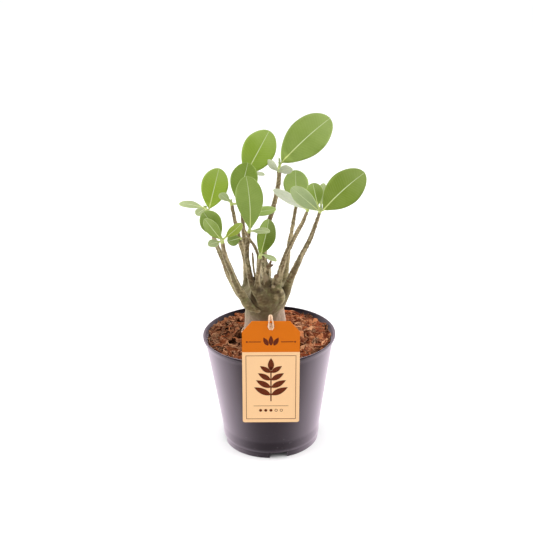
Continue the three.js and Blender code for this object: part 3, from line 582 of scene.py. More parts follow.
class Shader:
    """A Principled material whose sockets are fed by procedural nodes."""

    def __init__(self, name, **constants):
        self.material = bpy.data.materials.new(name)
        self.material.use_nodes = True
        self.tree = self.material.node_tree
        self.surface = self.tree.nodes["Principled BSDF"]
        for socket, value in constants.items():
            self.surface.inputs[socket.replace("_", " ")].default_value = value
        self.place = self.add("ShaderNodeTexCoord").outputs["Object"]

    def add(self, kind, inputs=(), **settings):
        node = self.tree.nodes.new(kind)
        for key, value in settings.items():
            setattr(node, key, value)
        for key, value in dict(inputs).items():
            self.feed(node.inputs[key], value)
        return node

    def feed(self, socket, value):
        if isinstance(value, bpy.types.NodeSocket):
            self.tree.links.new(value, socket)
        else:
            socket.default_value = value

    def drive(self, socket, value):
        self.feed(self.surface.inputs[socket], value)

    def attribute(self, name, output="Fac"):
        return self.add("ShaderNodeAttribute", attribute_name=name).outputs[output]

    def axis(self, which, of=None):
        return self.add("ShaderNodeSeparateXYZ", {"Vector": of or self.place}).outputs[which]

    def stretched(self, scale, at=None):
        return self.add("ShaderNodeMapping", {"Vector": at or self.place, "Scale": scale}).outputs["Vector"]

    def noise(self, scale, detail=3, roughness=0.5, at=None):
        inputs = {"Vector": at or self.place, "Scale": scale, "Detail": detail, "Roughness": roughness}
        return self.add("ShaderNodeTexNoise", inputs).outputs["Fac"]

    def span(self, value, low, high, to_low=0.0, to_high=1.0):
        """Goes smoothly from `to_low` to `to_high` while the value goes from `low` to `high`."""
        inputs = {"Value": value, "From Min": low, "From Max": high, "To Min": to_low, "To Max": to_high}
        return self.add("ShaderNodeMapRange", inputs, interpolation_type="SMOOTHSTEP").outputs["Result"]

    def maths(self, operation, a, b=0.0):
        return self.add("ShaderNodeMath", {0: a, 1: b}, operation=operation).outputs[0]

    def times(self, a, b):
        return self.maths("MULTIPLY", a, b)

    def mix(self, factor, a, b):
        node = self.add("ShaderNodeMix", {0: factor}, data_type="RGBA")
        for index, value in zip(MIX_INPUTS, (a, b)):
            if not isinstance(value, bpy.types.NodeSocket):
                value = (*value, 1)
            self.feed(node.inputs[index], value)
        return node.outputs[MIX_OUTPUT]

    def layers(self, colour, *rows):
        """Lays tints over a colour, one after another, from rows of (mask, tint)."""
        for mask, tint in rows:
            colour = self.mix(mask, colour, tint)
        return colour

    def turned_away(self):
        """0 where the skin faces the viewer and 1 at its edge: for the sheen only."""
        return self.add("ShaderNodeLayerWeight", {"Blend": 0.5}).outputs["Facing"]

    def bump(self, height, distance, strength=1.0, below=None):
        node = self.add("ShaderNodeBump", {"Height": height, "Distance": distance, "Strength": strength})
        if below is not None:
            self.feed(node.inputs["Normal"], below)
        return node.outputs["Normal"]

    def finish(self, colour, roughness, normal=None):
        for socket, value in (("Base Color", colour), ("Roughness", roughness), ("Normal", normal)):
            if value is not None:
                self.feed(self.surface.inputs[socket], value)
        return self.material


def pot_material():
    s = Shader("pot_plastic", Specular_IOR_Level=0.07, Specular_Tint=POT["sheen"],
               Sheen_Roughness=0.5, Sheen_Tint=POT["sheen"])
    drop = s.axis("Z", s.add("ShaderNodeNewGeometry").outputs["Normal"])
    edge = s.span(s.turned_away(), 0.03, 0.42, 0.055, 1.0)
    s.drive("Sheen Weight", s.times(edge, s.span(drop, -0.6, -0.25, 0.05, 1.0)))
    cloud = s.noise(38, 4)
    dust = s.span(s.noise(240, 5, 0.7), 0.58, 0.8)
    near_foot = s.span(s.axis("Z"), 0.004, 0.032, 1, 0)
    scuffs = s.times(s.span(s.noise(420, 2, at=s.stretched((1, 1, 2.2))), 0.68, 0.74), near_foot)
    dirt = ((s.times(dust, 0.03), POT["dust"]), (s.times(scuffs, 0.4), POT["scuff"]))
    colour = s.layers(s.mix(cloud, *POT["plastic"]), *dirt)
    fine = s.bump(s.noise(900, 3), 0.00002, 0.5)
    return s.finish(colour, s.span(cloud, 0.3, 0.7, 0.33, 0.43), s.bump(s.noise(26, 2), 0.0004, 0.25, fine))


def bark_colour(s, on_head, on_stem, height, grain):
    """The bark's colour: trunk, head and stems by height, then patches, specks, painted highlights, painted
    shade in pits and hollows, stains and scars.
    """
    broad, patch = s.noise(75, 4), s.noise(170, 4, 0.6)
    streaks = s.noise(0.42, 3, 0.5, at=s.attribute("grain", "Vector"))
    # Stems and twigs: dark and pale streaks along the grain, partly the bark's own streaks and partly painted
    # light and shade.
    lit = s.span(streaks, 0.47, 0.60)
    stem = s.mix(lit, s.mix(s.span(broad, 0.42, 0.58), *BARK["dark_streak"]), BARK["streak"])
    stem = s.mix(s.span(height, *TWIGS_START), stem, s.mix(lit, *BARK["twig"]))
    head = s.layers(
        s.mix(broad, *BARK["head"]),
        (s.span(patch, 0.50, 0.64, 0.0, 0.75), BARK["green"]),
        (s.span(patch, 0.34, 0.46, 0.6, 0.0), BARK["brown"]),
    )
    pit, hollow = s.attribute("pit"), s.attribute("hollow")
    # Painted highlight: the convex ridges of the head are paler.
    ridge_highlight = s.times(s.span(hollow, -0.5, -0.12, 0.7, 0.0), s.span(on_stem, 0, 1, 1.0, 0.35))
    specks = s.times(s.span(grain, 0.35, 0.68, 0.0, 0.30), s.span(on_head, 0, 1, 0.35, 1.0))
    # Painted highlight: small convex bumps are paler where the streaks are pale.
    bump_highlight = s.times(s.span(pit, -0.17, -0.04, 0.62, 0.0), s.span(streaks, 0.3, 0.6))
    # Blotches: the dark ones are partly stains and partly painted shade, the pale ones callus and a painted
    # highlight.
    stain_and_shade = s.times(s.attribute("stain_and_shade"), s.span(patch, 0.38, 0.56, 0.85, 1.1))
    scar = s.times(s.attribute("scar"), s.span(s.noise(150, 3), 0.46, 0.62, 0.05, 0.85))
    return s.layers(
        s.mix(on_stem, s.mix(on_head, s.mix(broad, *BARK["trunk"]), head), stem),
        (s.times(ridge_highlight, on_head), BARK["ridge_highlight"]), (specks, BARK["speck"]), (bump_highlight, BARK["bump_highlight"]),
        # Painted shade: small pits and the broad hollows of the head are darkened.
        (s.span(pit, 0.02, 0.13, 0.0, 0.65), BARK["pit"]),
        (s.span(hollow, 0.1, 1.1, 0.0, 0.9), BARK["hollow"]),
        (s.span(stain_and_shade, -1, 0, 0.85, 0.0), BARK["stain_and_shade"]),
        (s.span(stain_and_shade, 0, 1, 0.0, 0.8), s.mix(patch, *BARK["callus_and_highlight"])),
        (scar, BARK["scar"]), (s.times(s.attribute("wound"), 0.8), s.mix(s.noise(500, 3), *BARK["wound"])),
    )


def bark_material():
    s = Shader("living_bark", Sheen_Roughness=0.55, Specular_Tint=BARK["gloss"])
    height = s.maths("ADD", s.axis("Z"), s.span(s.noise(60, 2), 0.3, 0.7, -0.003, 0.003))
    height = s.maths("SUBTRACT", height, s.span(s.axis("X"), 0.0, 0.014, 0.0, 0.004))
    on_head, on_stem = s.span(height, *HEAD_STARTS), s.span(height, *STEMS_START)
    grain = s.noise(430, 5, 0.62)
    colour = bark_colour(s, on_head, on_stem, height, grain)
    sheen = s.times(s.span(s.turned_away(), 0.02, 0.35, 0.12, 1.0), s.span(on_head, 0, 1, 1.0, 0.42))
    s.drive("Sheen Weight", s.times(sheen, s.span(on_stem, 0, 1, 1.0, 0.35)))
    s.drive("Sheen Tint", s.mix(on_head, *BARK["sheen"]))
    s.drive("Specular IOR Level", s.span(on_head, 0, 1, 0.85, 0.35))
    wrinkles = s.noise(300, 4, 0.6, at=s.stretched((1, 1, 0.45)))
    ridges = s.bump(wrinkles, 0.0005, s.span(on_head, 0, 1, 0.2, 0.6))
    normal = s.bump(grain, 0.00025, s.span(on_head, 0, 1, 0.25, 0.6), ridges)
    return s.finish(colour, s.span(grain, 0.3, 0.7, 0.55, 0.74), normal)


def leaf_material(side):
    """One side of the leaves, with the look that its row of LEAF_SIDES gives."""
    s = Shader(side["name"], Specular_IOR_Level=0.2)
    along, rib, edge = s.attribute("along"), s.attribute("rib"), s.attribute("edge")
    mottle = s.span(s.noise(120, 4), 0.3, 0.7)
    veins = s.span(s.maths("PINGPONG", s.attribute("vein"), 0.5), 0.0, 0.09, 1.0, 0.0)
    veins = s.times(veins, s.span(edge, 0.2, 1.6))
    colour = s.layers(
        s.attribute(side["tone"], "Color"), (s.times(mottle, 0.08), side["mottle"]),
        (s.span(s.noise(700, 3), 0.45, 0.75, 0, 0.10), LEAF["speck"]),
        # Painted highlight: the blade is paler towards its tip.
        (s.span(s.attribute("ripe"), 0.5, 1.0, 0.0, 0.2), LEAF["ripe"]),
        (s.span(along, 0.0, 0.24, 0.12, 0.0), LEAF["foot"]), (s.times(veins, 0.11), LEAF["vein"]),
        (s.span(edge, 0.0, 0.55, 0.38, 0.0), LEAF["margin"]),
        (s.span(rib, 0.45, 1.0, side["rib"], 0.0), s.mix(s.span(along, 0.05, 0.5), *LEAF["rib"])),
    )
    relief = s.bump(s.times(veins, side["vein_relief"]), 0.00012, 0.6)
    relief = s.bump(s.span(rib, 0.2, 1.2, side["rib_relief"], 0.0), 0.0003, 0.6, relief)
    normal = s.bump(s.noise(380, 3), 0.00010, 0.5, relief)
    return s.finish(colour, s.span(mottle, 0, 1, *side["roughness"]), normal)


def petiole_material():
    s = Shader("petiole", Specular_IOR_Level=0.4)
    young = s.times(s.attribute("young"), 0.55)
    colour = s.mix(young, s.mix(s.noise(300, 3), *LEAF["petiole"]), LEAF["young"])
    return s.finish(colour, s.span(s.noise(500), 0.3, 0.7, 0.45, 0.6), s.bump(s.noise(800, 3), 0.0001, 0.5))


def chip_material():
    s = Shader("bark_chips", Specular_IOR_Level=0.06)
    fibres = s.stretched((0.15, 0.9, 0.9), at=s.attribute("lay", "Vector"))
    streak = s.noise(1.0, 5, 0.6, at=fibres)
    # Pale edges of the chips: partly torn fibres and partly painted highlight.
    torn = s.times(s.span(s.attribute("rim"), 0.72, 1.0), s.span(streak, 0.42, 0.6))
    colour = s.layers(
        s.attribute("tone", "Color"), (s.span(streak, 0.46, 0.70, 0.0, 0.5), CHIP["pale"]),
        (s.times(torn, 0.6), CHIP["torn"]), (s.span(streak, 0.3, 0.46, 0.7, 0.0), CHIP["crack"]),
        (s.span(s.noise(420, 4, 0.65), 0.5, 0.72, 0.0, 0.35), CHIP["dirt"]),
    )
    rough = s.bump(s.noise(520, 4, 0.65), 0.0005, 0.7)
    return s.finish(colour, s.span(streak, 0.3, 0.7, 0.78, 0.95), s.bump(streak, 0.0010, 0.9, rough))


def card_material():
    s = Shader("tag_card", Specular_IOR_Level=0.1)
    border = TAG_HEIGHT / 2 - TAG_BAND
    band = s.span(s.attribute("up"), border - 0.12, border + 0.12)
    fibre = s.noise(900, 4, 0.6)
    colour = s.mix(band, s.mix(fibre, *TAG["cream"]), s.mix(fibre, *TAG["orange"]))
    return s.finish(colour, s.span(fibre, 0.3, 0.7, 0.5, 0.62), s.bump(fibre, 0.00004, 0.5))


def print_material():
    s = Shader("tag_print", Specular_IOR_Level=0.1)
    colour = s.mix(s.span(s.noise(1400, 3), 0.35, 0.7), *TAG["ink"])
    return s.finish(colour, s.span(s.noise(700), 0.3, 0.7, 0.5, 0.64))


def cord_material():
    s = Shader("tie_cord", Specular_IOR_Level=0.1)
    colour = s.mix(s.noise(1500, 3), *TAG["cord"])
    return s.finish(colour, s.span(s.noise(900), 0.3, 0.7, 0.75, 0.9), s.bump(s.noise(2600, 2), 0.0001, 0.6))


def floor_material():
    s = Shader("floor_white", Specular_IOR_Level=0.1)
    return s.finish(s.mix(s.noise(3, 2), *FLOOR_WHITE), 0.8)


# ------------------------------------------------------------------ pot
def wall_radius(z):
    """Outside of the wall: nearly upright at the foot, then evenly tapered."""
    bend_radius, bend = WALL_BEND
    above = (WALL_TOP_RADIUS - bend_radius) / (LIP_FOOT - bend)
    below = (bend_radius - WALL_FOOT_RADIUS) / (bend - FOOT_HEIGHT)
    return bend_radius + np.where(z < bend, below, above) * (z - bend)


def inner_radius(z):
    return wall_radius(z) - WALL


def arc(centre, radius, start, end, count):
    """Points of a rounded corner in (radius, z), between two angles in degrees."""
    angles = np.radians(np.linspace(start, end, count))
    return [(centre[0] + radius * math.cos(a), centre[1] + radius * math.sin(a)) for a in angles]


def cut(obj, tools):
    """Takes closed shapes out of an object."""
    for tool in tools:
        modifier = obj.modifiers.new("cut", "BOOLEAN")
        modifier.operation = "DIFFERENCE"
        modifier.solver = "EXACT"
        modifier.object = tool
    apply_modifiers(obj)
    for tool in tools:
        bpy.data.objects.remove(tool)


def drain(at):
    """A round tool that goes through the floor."""
    r, low, high = DRAIN_RADIUS, FLOOR_UNDERSIDE - 3, FLOOR_TOP + 3
    return solid("drain", *lathe([(0, low), (r, low), (r, high), (0, high)], 24, at))


def notch(out, across):
    """A tool with rounded top corners that goes through the foot ring, outwards along `out`."""
    half, top, r = NOTCH_WIDTH / 2, NOTCH_HEIGHT, 1.0
    outline = [(-half, -4), (half, -4)]
    outline += arc((half - r, top - r), r, 0, 90, 5) + arc((-half + r, top - r), r, 90, 180, 5)
    corners = []
    for reach in (FOOT_RADIUS - 7, FOOT_RADIUS + 7):
        corners += [(*(out * reach + across * u), z) for u, z in outline]
    return solid("notch", corners, ring_faces(2, len(outline)))


def pot_profile():
    """Radius and height of the pot's section, from the middle of its underside round to the floor inside."""
    inside_foot = FOOT_RADIUS - FOOT_WALL
    profile = [(0, FLOOR_UNDERSIDE), (inside_foot - 1, FLOOR_UNDERSIDE)]
    profile += arc((inside_foot - 1, FLOOR_UNDERSIDE - 1), 1, 90, 0, 4)[1:]
    profile += arc((inside_foot + 0.5, 0.5), 0.5, 180, 270, 4)
    profile += arc((FOOT_RADIUS - 0.5, 0.5), 0.5, 270, 360, 4)
    profile += [(FOOT_RADIUS, FOOT_HEIGHT - 1), (FOOT_RADIUS + 0.12, FOOT_HEIGHT - 0.5)]
    profile += [(WALL_FOOT_RADIUS - 0.15, FOOT_HEIGHT - 0.25), (WALL_FOOT_RADIUS, FOOT_HEIGHT)]
    heights = (9, 12, 14.5, 16, 17.5, 20, *np.linspace(24, LIP_FOOT - 0.5, 22))
    profile += [(float(wall_radius(z)), z) for z in heights]
    profile += [(WALL_TOP_RADIUS + 0.15, LIP_FOOT), (WALL_TOP_RADIUS + 0.8, LIP_FOOT + 0.35)]
    profile += [(LIP_RADIUS - 0.35, LIP_FOOT + 0.95), (LIP_RADIUS, LIP_FOOT + 1.6)]
    profile += arc((LIP_RADIUS - 0.55, POT_HEIGHT - 0.55), 0.55, 0, 90, 6)
    profile += arc((LIP_INNER_RADIUS + 0.5, POT_HEIGHT - 0.5), 0.5, 90, 180, 5)
    profile += [(LIP_INNER_RADIUS - 0.15, LIP_FOOT + 1.8), (LIP_INNER_RADIUS - 0.9, LIP_FOOT + 0.8)]
    profile += [(float(inner_radius(z)), z) for z in (LIP_FOOT, 90, 70, 50, 30, 16, FLOOR_TOP + 2)]
    return [*profile, (float(inner_radius(FLOOR_TOP)) - 0.9, FLOOR_TOP), (0, FLOOR_TOP)]


def make_pot(material):
    pot = solid("nursery_pot", *lathe(pot_profile(), POT_SIDES))
    tools = [drain((0, 0))]
    for i in range(NOTCH_COUNT):
        angle = FRONT_NOTCH_ANGLE + 2 * math.pi * i / NOTCH_COUNT
        out = np.array(polar(1, angle))
        tools += [drain(tuple(out * DRAIN_CIRCLE)), notch(out, np.array([-out[1], out[0]]))]
    cut(pot, tools)
    finish_mesh(pot, [material], sharp=42)
    return pot


# ------------------------------------------------------------------ trunk
GRID = 0.45  # distance between the field's points
GRID_MARGIN = 3.2
FAR = 8  # stands for every larger distance
SCAR_PITCH = 2.4
SCARS_START = 156  # height
GOLDEN = math.radians(137.5)
GRAIN_STRETCH = 0.13  # the bark's grain runs this much slower along a stem than across it
GRAIN_SHIFT = 40.0  # between one stem's grain and the next's
# How softly limbs and lumps run into the head, in millimetres, and into each other above it.
BASE_BLEND = {"left": 1.0, "centre": 5.0, "farLeft": 3.5, "farRight": 3.2}
OTHER_BLEND = 4.5
STUB_BLEND = 3.0
LUMP_BLEND = 1.8
CLEFT_BLEND = 1.3
MOUND_BLEND = 6.5
STEM_BLEND = 0.4


def nearer(a, b, blend):
    """The smaller of two distances, with the crease between their skins rounded."""
    soft = np.maximum(blend - np.abs(a - b), 0) / blend
    return np.minimum(a, b) - soft * soft * blend / 4


class Field:
    """Distances to a skin, in millimetres, on a regular grid: negative inside."""

    def __init__(self, low, high):
        self.low = np.floor(np.asarray(low) / GRID) * GRID
        self.size = np.ceil((np.asarray(high) - self.low) / GRID).astype(int) + 1
        self.values = np.full(self.size, FAR, np.float32)

    def window(self, low, high):
        """The part of the grid between two corners, and where its planes lie."""
        first = np.maximum(((low - self.low) / GRID).astype(int), 0)
        last = np.minimum(((high - self.low) / GRID).astype(int) + 2, self.size)
        planes = [self.low[k] + GRID * np.arange(first[k], last[k]) for k in range(3)]
        return tuple(map(slice, first, last)), np.meshgrid(*planes, indexing="ij", sparse=True)

    def under(self, other):
        """The part of the grid that a smaller one covers."""
        first = np.round((other.low - self.low) / GRID).astype(int)
        return tuple(slice(a, a + n) for a, n in zip(first, other.size))

    def add_cone(self, a, b):
        """Adds a round-ended cone between two rows of (x, y, z, radius)."""
        reach = max(a[3], b[3]) + GRID_MARGIN
        part, (x, y, z) = self.window(np.minimum(a, b)[:3] - reach, np.maximum(a, b)[:3] + reach)
        run = b[:3] - a[:3]
        dx, dy, dz = x - a[0], y - a[1], z - a[2]
        t = np.clip((dx * run[0] + dy * run[1] + dz * run[2]) / (run @ run), 0, 1)
        away = np.sqrt((dx - t * run[0]) ** 2 + (dy - t * run[1]) ** 2 + (dz - t * run[2]) ** 2)
        self.values[part] = np.minimum(self.values[part], away - a[3] - t * (b[3] - a[3]))

    def carve_cone(self, a, b):
        """Takes away a round-ended cone between two rows of (x, y, z, radius)."""
        reach = max(a[3], b[3]) + GRID_MARGIN
        tool = Field(np.minimum(a, b)[:3] - reach, np.maximum(a, b)[:3] + reach)
        tool.add_cone(a, b)
        part = self.under(tool)
        self.values[part] = -nearer(-self.values[part], tool.values, CLEFT_BLEND)

    def join(self, other, blend):
        """Joins a smaller field, its creases rounded by `blend(height)`."""
        part = self.under(other)
        round_off = blend(other.low[2] + GRID * np.arange(other.size[2]))[None, None, :]
        self.values[part] = nearer(self.values[part], other.values, round_off)

    def skin(self):
        """Points and four-sided faces where the distance passes zero, one point in each crossed cell."""
        inside = self.values < 0
        corners = list(product((0, 1), repeat=3))
        count = np.zeros(self.size - 1, np.uint8)
        for corner in corners:
            count += inside[tuple(slice(c, c + n - 1) for c, n in zip(corner, self.size))]
        cells = np.argwhere((count > 0) & (count < 8))
        samples = [self.values[tuple((cells + corner).T)] for corner in corners]
        total, hits = np.zeros((len(cells), 3)), np.zeros(len(cells))
        for a, b in combinations(range(8), 2):
            run = np.subtract(corners[b], corners[a])
            if np.abs(run).sum() == 1:
                crossed = (samples[a] < 0) != (samples[b] < 0)
                share = samples[a] / np.where(crossed, samples[a] - samples[b], 1)
                total += crossed[:, None] * (corners[a] + share[:, None] * run)
                hits += crossed
        number = np.full(count.shape, -1, np.int32)
        number[tuple(cells.T)] = np.arange(len(cells))
        quads = []
        for axis in range(3):
            ahead = [slice(None)] * 3
            behind = [slice(None)] * 3
            ahead[axis], behind[axis] = slice(1, None), slice(0, -1)
            spots = np.argwhere(inside[tuple(behind)] != inside[tuple(ahead)])
            u, v = np.eye(3, dtype=int)[(axis + 1) % 3], np.eye(3, dtype=int)[(axis + 2) % 3]
            ring = np.stack([number[tuple((spots - back).T)] for back in (u + v, v, 0 * u, u)], 1)
            leaving = inside[tuple(spots.T)]
            quads.append(np.where(leaving[:, None], ring, ring[:, ::-1]))
        return self.low + GRID * (cells + total / hits[:, None]), np.vstack(quads)


def limb(path, extra=()):
    """The field of one limb, from rows of (x, y, z, radius), and of short ridges on it."""
    rows = np.vstack([path, *extra])
    reach = rows[:, 3].max() + GRID_MARGIN + 1
    field = Field(rows[:, :3].min(0) - reach, rows[:, :3].max(0) + reach)
    for a, b in [*zip(path, path[1:]), *extra]:
        field.add_cone(a, b)
    return field


def blending(base, top=STEM_BLEND, low=148, high=168):
    """A join that is `base` soft on the head and `top` soft above it."""
    return lambda z: base + (top - base) * step(z, low, high)


def leaf_scars(path, turn):
    """Crescent ridges in a spiral up a branch: the ends of each, and its centre and size."""
    _, first, second = frames(path[:, :3])
    lengths = lengths_along(path)
    start = lengths[np.argmax(path[:, 2] > SCARS_START)]
    ridges, marks = [], []
    for n, at in enumerate(np.arange(start, lengths[-1] - 1, SCAR_PITCH * rng.uniform(0.85, 1.1))):
        i = int(np.clip(np.searchsorted(lengths, at + rng.uniform(-0.7, 0.7)), 1, len(path) - 2))
        angle = GOLDEN * n + turn + rng.uniform(-0.35, 0.35)
        out = first[i] * math.cos(angle) + second[i] * math.sin(angle)
        along = unit(path[i + 1, :3] - path[i - 1, :3])
        radius = path[i, 3]
        thick = 0.30 + 0.08 * radius
        centre = path[i, :3] + out * (radius - 0.42 * thick)
        half = np.cross(along, out) * (0.18 + 0.20 * radius) * rng.uniform(0.7, 1.2)
        ridges.append(np.array([(*(centre - half), thick), (*(centre + half), thick)]))
        marks.append((*(centre + along * 0.5), 0.35 + 0.32 * radius))
    return ridges, marks


def stem_core(path, seed):
    """Points along a branch's axis, each with its pair of normals and the place of its bark grain."""
    _, first, second = frames(path[:, :3])
    shifts = [np.array([GRAIN_SHIFT * seed, 0, GRAIN_STRETCH * at]) for at in lengths_along(path)]
    return list(zip(path[:, :3], first, second, shifts))


def trunk_body():
    """The sunk root, the neck and the domed head, turned round the trunk's own axis."""
    profile = catmull([(r, z, 0) for r, z in TRUNK_PROFILE[1:]], 6)
    reach = 26
    body = Field((TRUNK_X - reach, -reach, 57), (TRUNK_X + reach, reach, 161))
    _, (x, y, z) = body.window(body.low, body.low + GRID * body.size)
    rise = np.maximum.accumulate(profile[:, 1] + 1e-6 * np.arange(len(profile)))
    wide = np.interp(z, rise, np.maximum(profile[:, 0], 0))
    slope = np.gradient(wide, GRID, axis=2)
    gap = (np.hypot(x - TRUNK_X, y) - wide) / np.sqrt(1 + np.minimum(slope**2, 9))
    ends = np.maximum(TRUNK_PROFILE[0][1] - z, z - TRUNK_PROFILE[-1][1])
    body.values = np.minimum(np.maximum(gap, ends), FAR).astype(np.float32)
    return body


def trunk_field():
    """The whole woody body as one field, and the leaf scars and the axes of its stems."""
    whole = Field((-66, -40, 52), (60, 48, 268))
    whole.join(trunk_body(), lambda z: np.full(len(z), 0.1))
    marks, cores = [], []
    for turn, (name, points) in enumerate(BRANCHES.items()):
        path = catmull(points, 5)
        ridges, centres = leaf_scars(path, turn)
        marks += centres
        cores += stem_core(path, turn)
        whole.join(limb(path, ridges), blending(BASE_BLEND.get(name, OTHER_BLEND)))
    cores += stem_core(catmull(MOUND, 5), len(BRANCHES))
    whole.join(limb(catmull(MOUND, 4)), blending(MOUND_BLEND, 1, 164, 172))
    for rows, blend in ((STUBS, STUB_BLEND), (LUMPS, LUMP_BLEND)):
        for points in rows:
            whole.join(limb(catmull(points, 4)), blending(blend))
    path = catmull(CLEFT, 3)
    for a, b in zip(path, path[1:]):
        whole.carve_cone(a, b)
    return whole, marks, cores


def roughened(place, normals):
    """Pushes the points in and out: broad swells below, knobs and creases above."""
    push = np.empty(len(place))
    for i, (x, y, z) in enumerate(place):
        swell = noise.noise(Vector((x, y, z)) * 0.10)
        knob = noise.noise(Vector((x * 0.42, y * 0.42, z * 0.55)))
        crease = noise.noise(Vector((x * 0.9, y * 0.9, z * 2.4)))
        up = min(max((z - 148) / 20, 0), 1)
        push[i] = (0.75 - 0.55 * up) * swell + (0.18 + 0.16 * up) * knob + (0.02 + 0.02 * up) * crease
    return place + normals * push[:, None]


def search_tree(rows):
    """A tree that finds the nearest of some rows, which start with x, y, z."""
    tree = kdtree.KDTree(len(rows))
    for i, row in enumerate(rows):
        tree.insert(row[:3], i)
    tree.balance()
    return tree


def bark_values(place, marks, cores):
    """What the bark's colour needs at each point, apart from the relief."""
    count = len(place)
    scars, axes = search_tree(marks), search_tree([core[0] for core in cores])
    grain, scar, stain_and_shade = np.empty((count, 3)), np.empty(count), np.zeros(count)
    for i, point in enumerate(place):
        centre, first, second, shift = cores[axes.find(point)[1]]
        grain[i] = np.dot(point - centre, first), np.dot(point - centre, second), 0
        grain[i] += shift
        _, which, distance = scars.find(point)
        scar[i] = distance / marks[which][3]
    tips = np.array([points[-1][:3] for points in STUBS])
    wound = np.min(np.linalg.norm(place[:, None] - tips[None], axis=2), axis=1)
    # Blotches: dark ones are stains and painted shade, pale ones callus and a painted highlight.
    for x, y, z, radius, strength in BLOTCHES:
        away = np.linalg.norm(place - (x, y, z), axis=1)
        stain_and_shade += strength * step(away, radius, 0.1 * radius)
    return dict(grain=grain, scar=step(scar, 1.15, 0.55), wound=step(wound, 3.2, 1.6), stain_and_shade=stain_and_shade)


def make_trunk(material):
    whole, marks, cores = trunk_field()
    place, quads = whole.skin()
    first, second = np.vstack([quads[:, (k, (k + 1) % 4)] for k in range(4)]).T
    head = step(place[:, 2], 164, 146)[:, None]
    soft = smoothed(place, first, second, 2)
    place = soft * (1 - head) + smoothed(soft, first, second, 4) * head
    trunk = new_object("trunk_and_branches_bark", place, quads, [material])
    normals = np.empty(place.size)
    trunk.data.vertices.foreach_get("normal", normals)
    normals = normals.reshape(-1, 3)
    place = roughened(place, normals)
    trunk.data.vertices.foreach_set("co", (place * MM).ravel())
    trunk.data.update()
    # How far each point is sunk below its near and its wide neighbours: the bark's painted shade in pits and
    # hollows and its painted highlights on ridges and bumps follow these.
    near = smoothed(place, first, second, 12)
    wide = smoothed(near, first, second, 60)
    put(trunk, "hollow", np.sum((wide - place) * normals, axis=1))
    put(trunk, "pit", np.sum((near - place) * normals, axis=1))
    for name, values in bark_values(place, marks, cores).items():
        put(trunk, name, values)
    return trunk


# ------------------------------------------------------------------ growing medium
def block(nx, ny, nz):
    """The skin of a unit box cut into cells: points and faces."""
    index, verts, faces = {}, [], []

    def corner(i, j, k):
        if (i, j, k) not in index:
            index[i, j, k] = len(verts)
            verts.append((i / nx - 0.5, j / ny - 0.5, k / nz - 0.5))
        return index[i, j, k]

    cells = (nx, ny, nz)
    for across, along, through in ((0, 1, 2), (0, 2, 1), (1, 2, 0)):
        for a, b, c in product(range(cells[across]), range(cells[along]), (0, cells[through])):
            face = []
            for da, db in ((0, 0), (1, 0), (1, 1), (0, 1)):
                at = [0, 0, 0]
                at[across], at[along], at[through] = a + da, b + db, c
                face.append(corner(*at))
            faces.append(tuple(face))
    return np.array(verts), faces


def rotation(turn):
    return np.array(Euler([math.radians(a) for a in turn], "ZYX").to_matrix())


def chip_shape(unit_verts, size):
    """A torn, slightly curled slab of bark."""
    u = unit_verts.copy()
    ends = np.abs(u[:, 0]) > 0.49
    rows = (np.round((u[:, 1] + 0.5) * 5) + 10 * np.sign(u[:, 0])).astype(int)
    tears = {row: rng.uniform(-0.16, 0.06) for row in np.unique(rows)}
    u[ends, 0] *= 1 + np.array([tears[r] for r in rows[ends]])
    u[:, 1] *= 1 + rng.uniform(-0.35, 0.35) * u[:, 0] + 0.12 * np.sin(9 * u[:, 0] + rng.uniform(0, 6))
    u[:, 2] *= 1 - 0.5 * np.abs(u[:, 1]) * rng.uniform(0.2, 1.2)
    points = u * size
    points[:, 2] += rng.uniform(-0.9, 1.6) * (2 * u[:, 1]) ** 2 + rng.uniform(-1.4, 1.4) * (2 * u[:, 0]) ** 2
    points[:, 1] += rng.uniform(-1.2, 1.2) * (2 * u[:, 0]) ** 2
    thickness = size[2]
    return points + rng.normal(0, 0.16, points.shape) * min(1, thickness / 2)


def room(z):
    """Radius that chips may reach at height z, inside the wall and the wider lip."""
    radii = (float(inner_radius(LIP_FOOT)), LIP_INNER_RADIUS - 0.15)
    return np.where(z < LIP_FOOT, inner_radius(z), np.interp(z, (LIP_FOOT, LIP_FOOT + 1.8), radii))


def kept_inside(points, slack=0.35):
    """Moves a chip down and in until it's inside the pot."""
    points = points.copy()
    over = points[:, 2].max() - CHIP_TOP_LIMIT
    if over > 0:
        points[:, 2] -= over
    for _ in range(4):
        radius = np.hypot(points[:, 0], points[:, 1])
        excess = radius - (room(points[:, 2]) - slack)
        worst = int(np.argmax(excess))
        if excess[worst] <= 0:
            break
        points[:, :2] -= points[worst, :2] / radius[worst] * excess[worst]
    return points


def soil_bed():
    """The plain body of growing medium under the chips, with the hole for the root."""
    bed = [(0, FLOOR_TOP + CLEAR), (inner_radius(FLOOR_TOP) - 1.2, FLOOR_TOP + CLEAR)]
    bed += [(inner_radius(z) - CLEAR, z) for z in (*BED_HEIGHTS, BED_EDGE + 1)]
    bed += [(r, BED_EDGE + 1.5) for r in np.linspace(54.5, 21.4, 26)]
    verts, faces = lathe(bed + ROOT_HOLE[::-1], 120)
    verts = np.array(verts, float)
    verts[:, 0] += TRUNK_X * step(np.hypot(verts[:, 0], verts[:, 1]), 40, 22) * (verts[:, 2] > 60)
    for v in verts:
        if v[2] > BED_EDGE + 1.2:
            v[2] += 1.5 * noise.noise(Vector(v) * 0.16) + 1.2 * noise.noise(Vector(v) * 0.5)
    return verts, faces


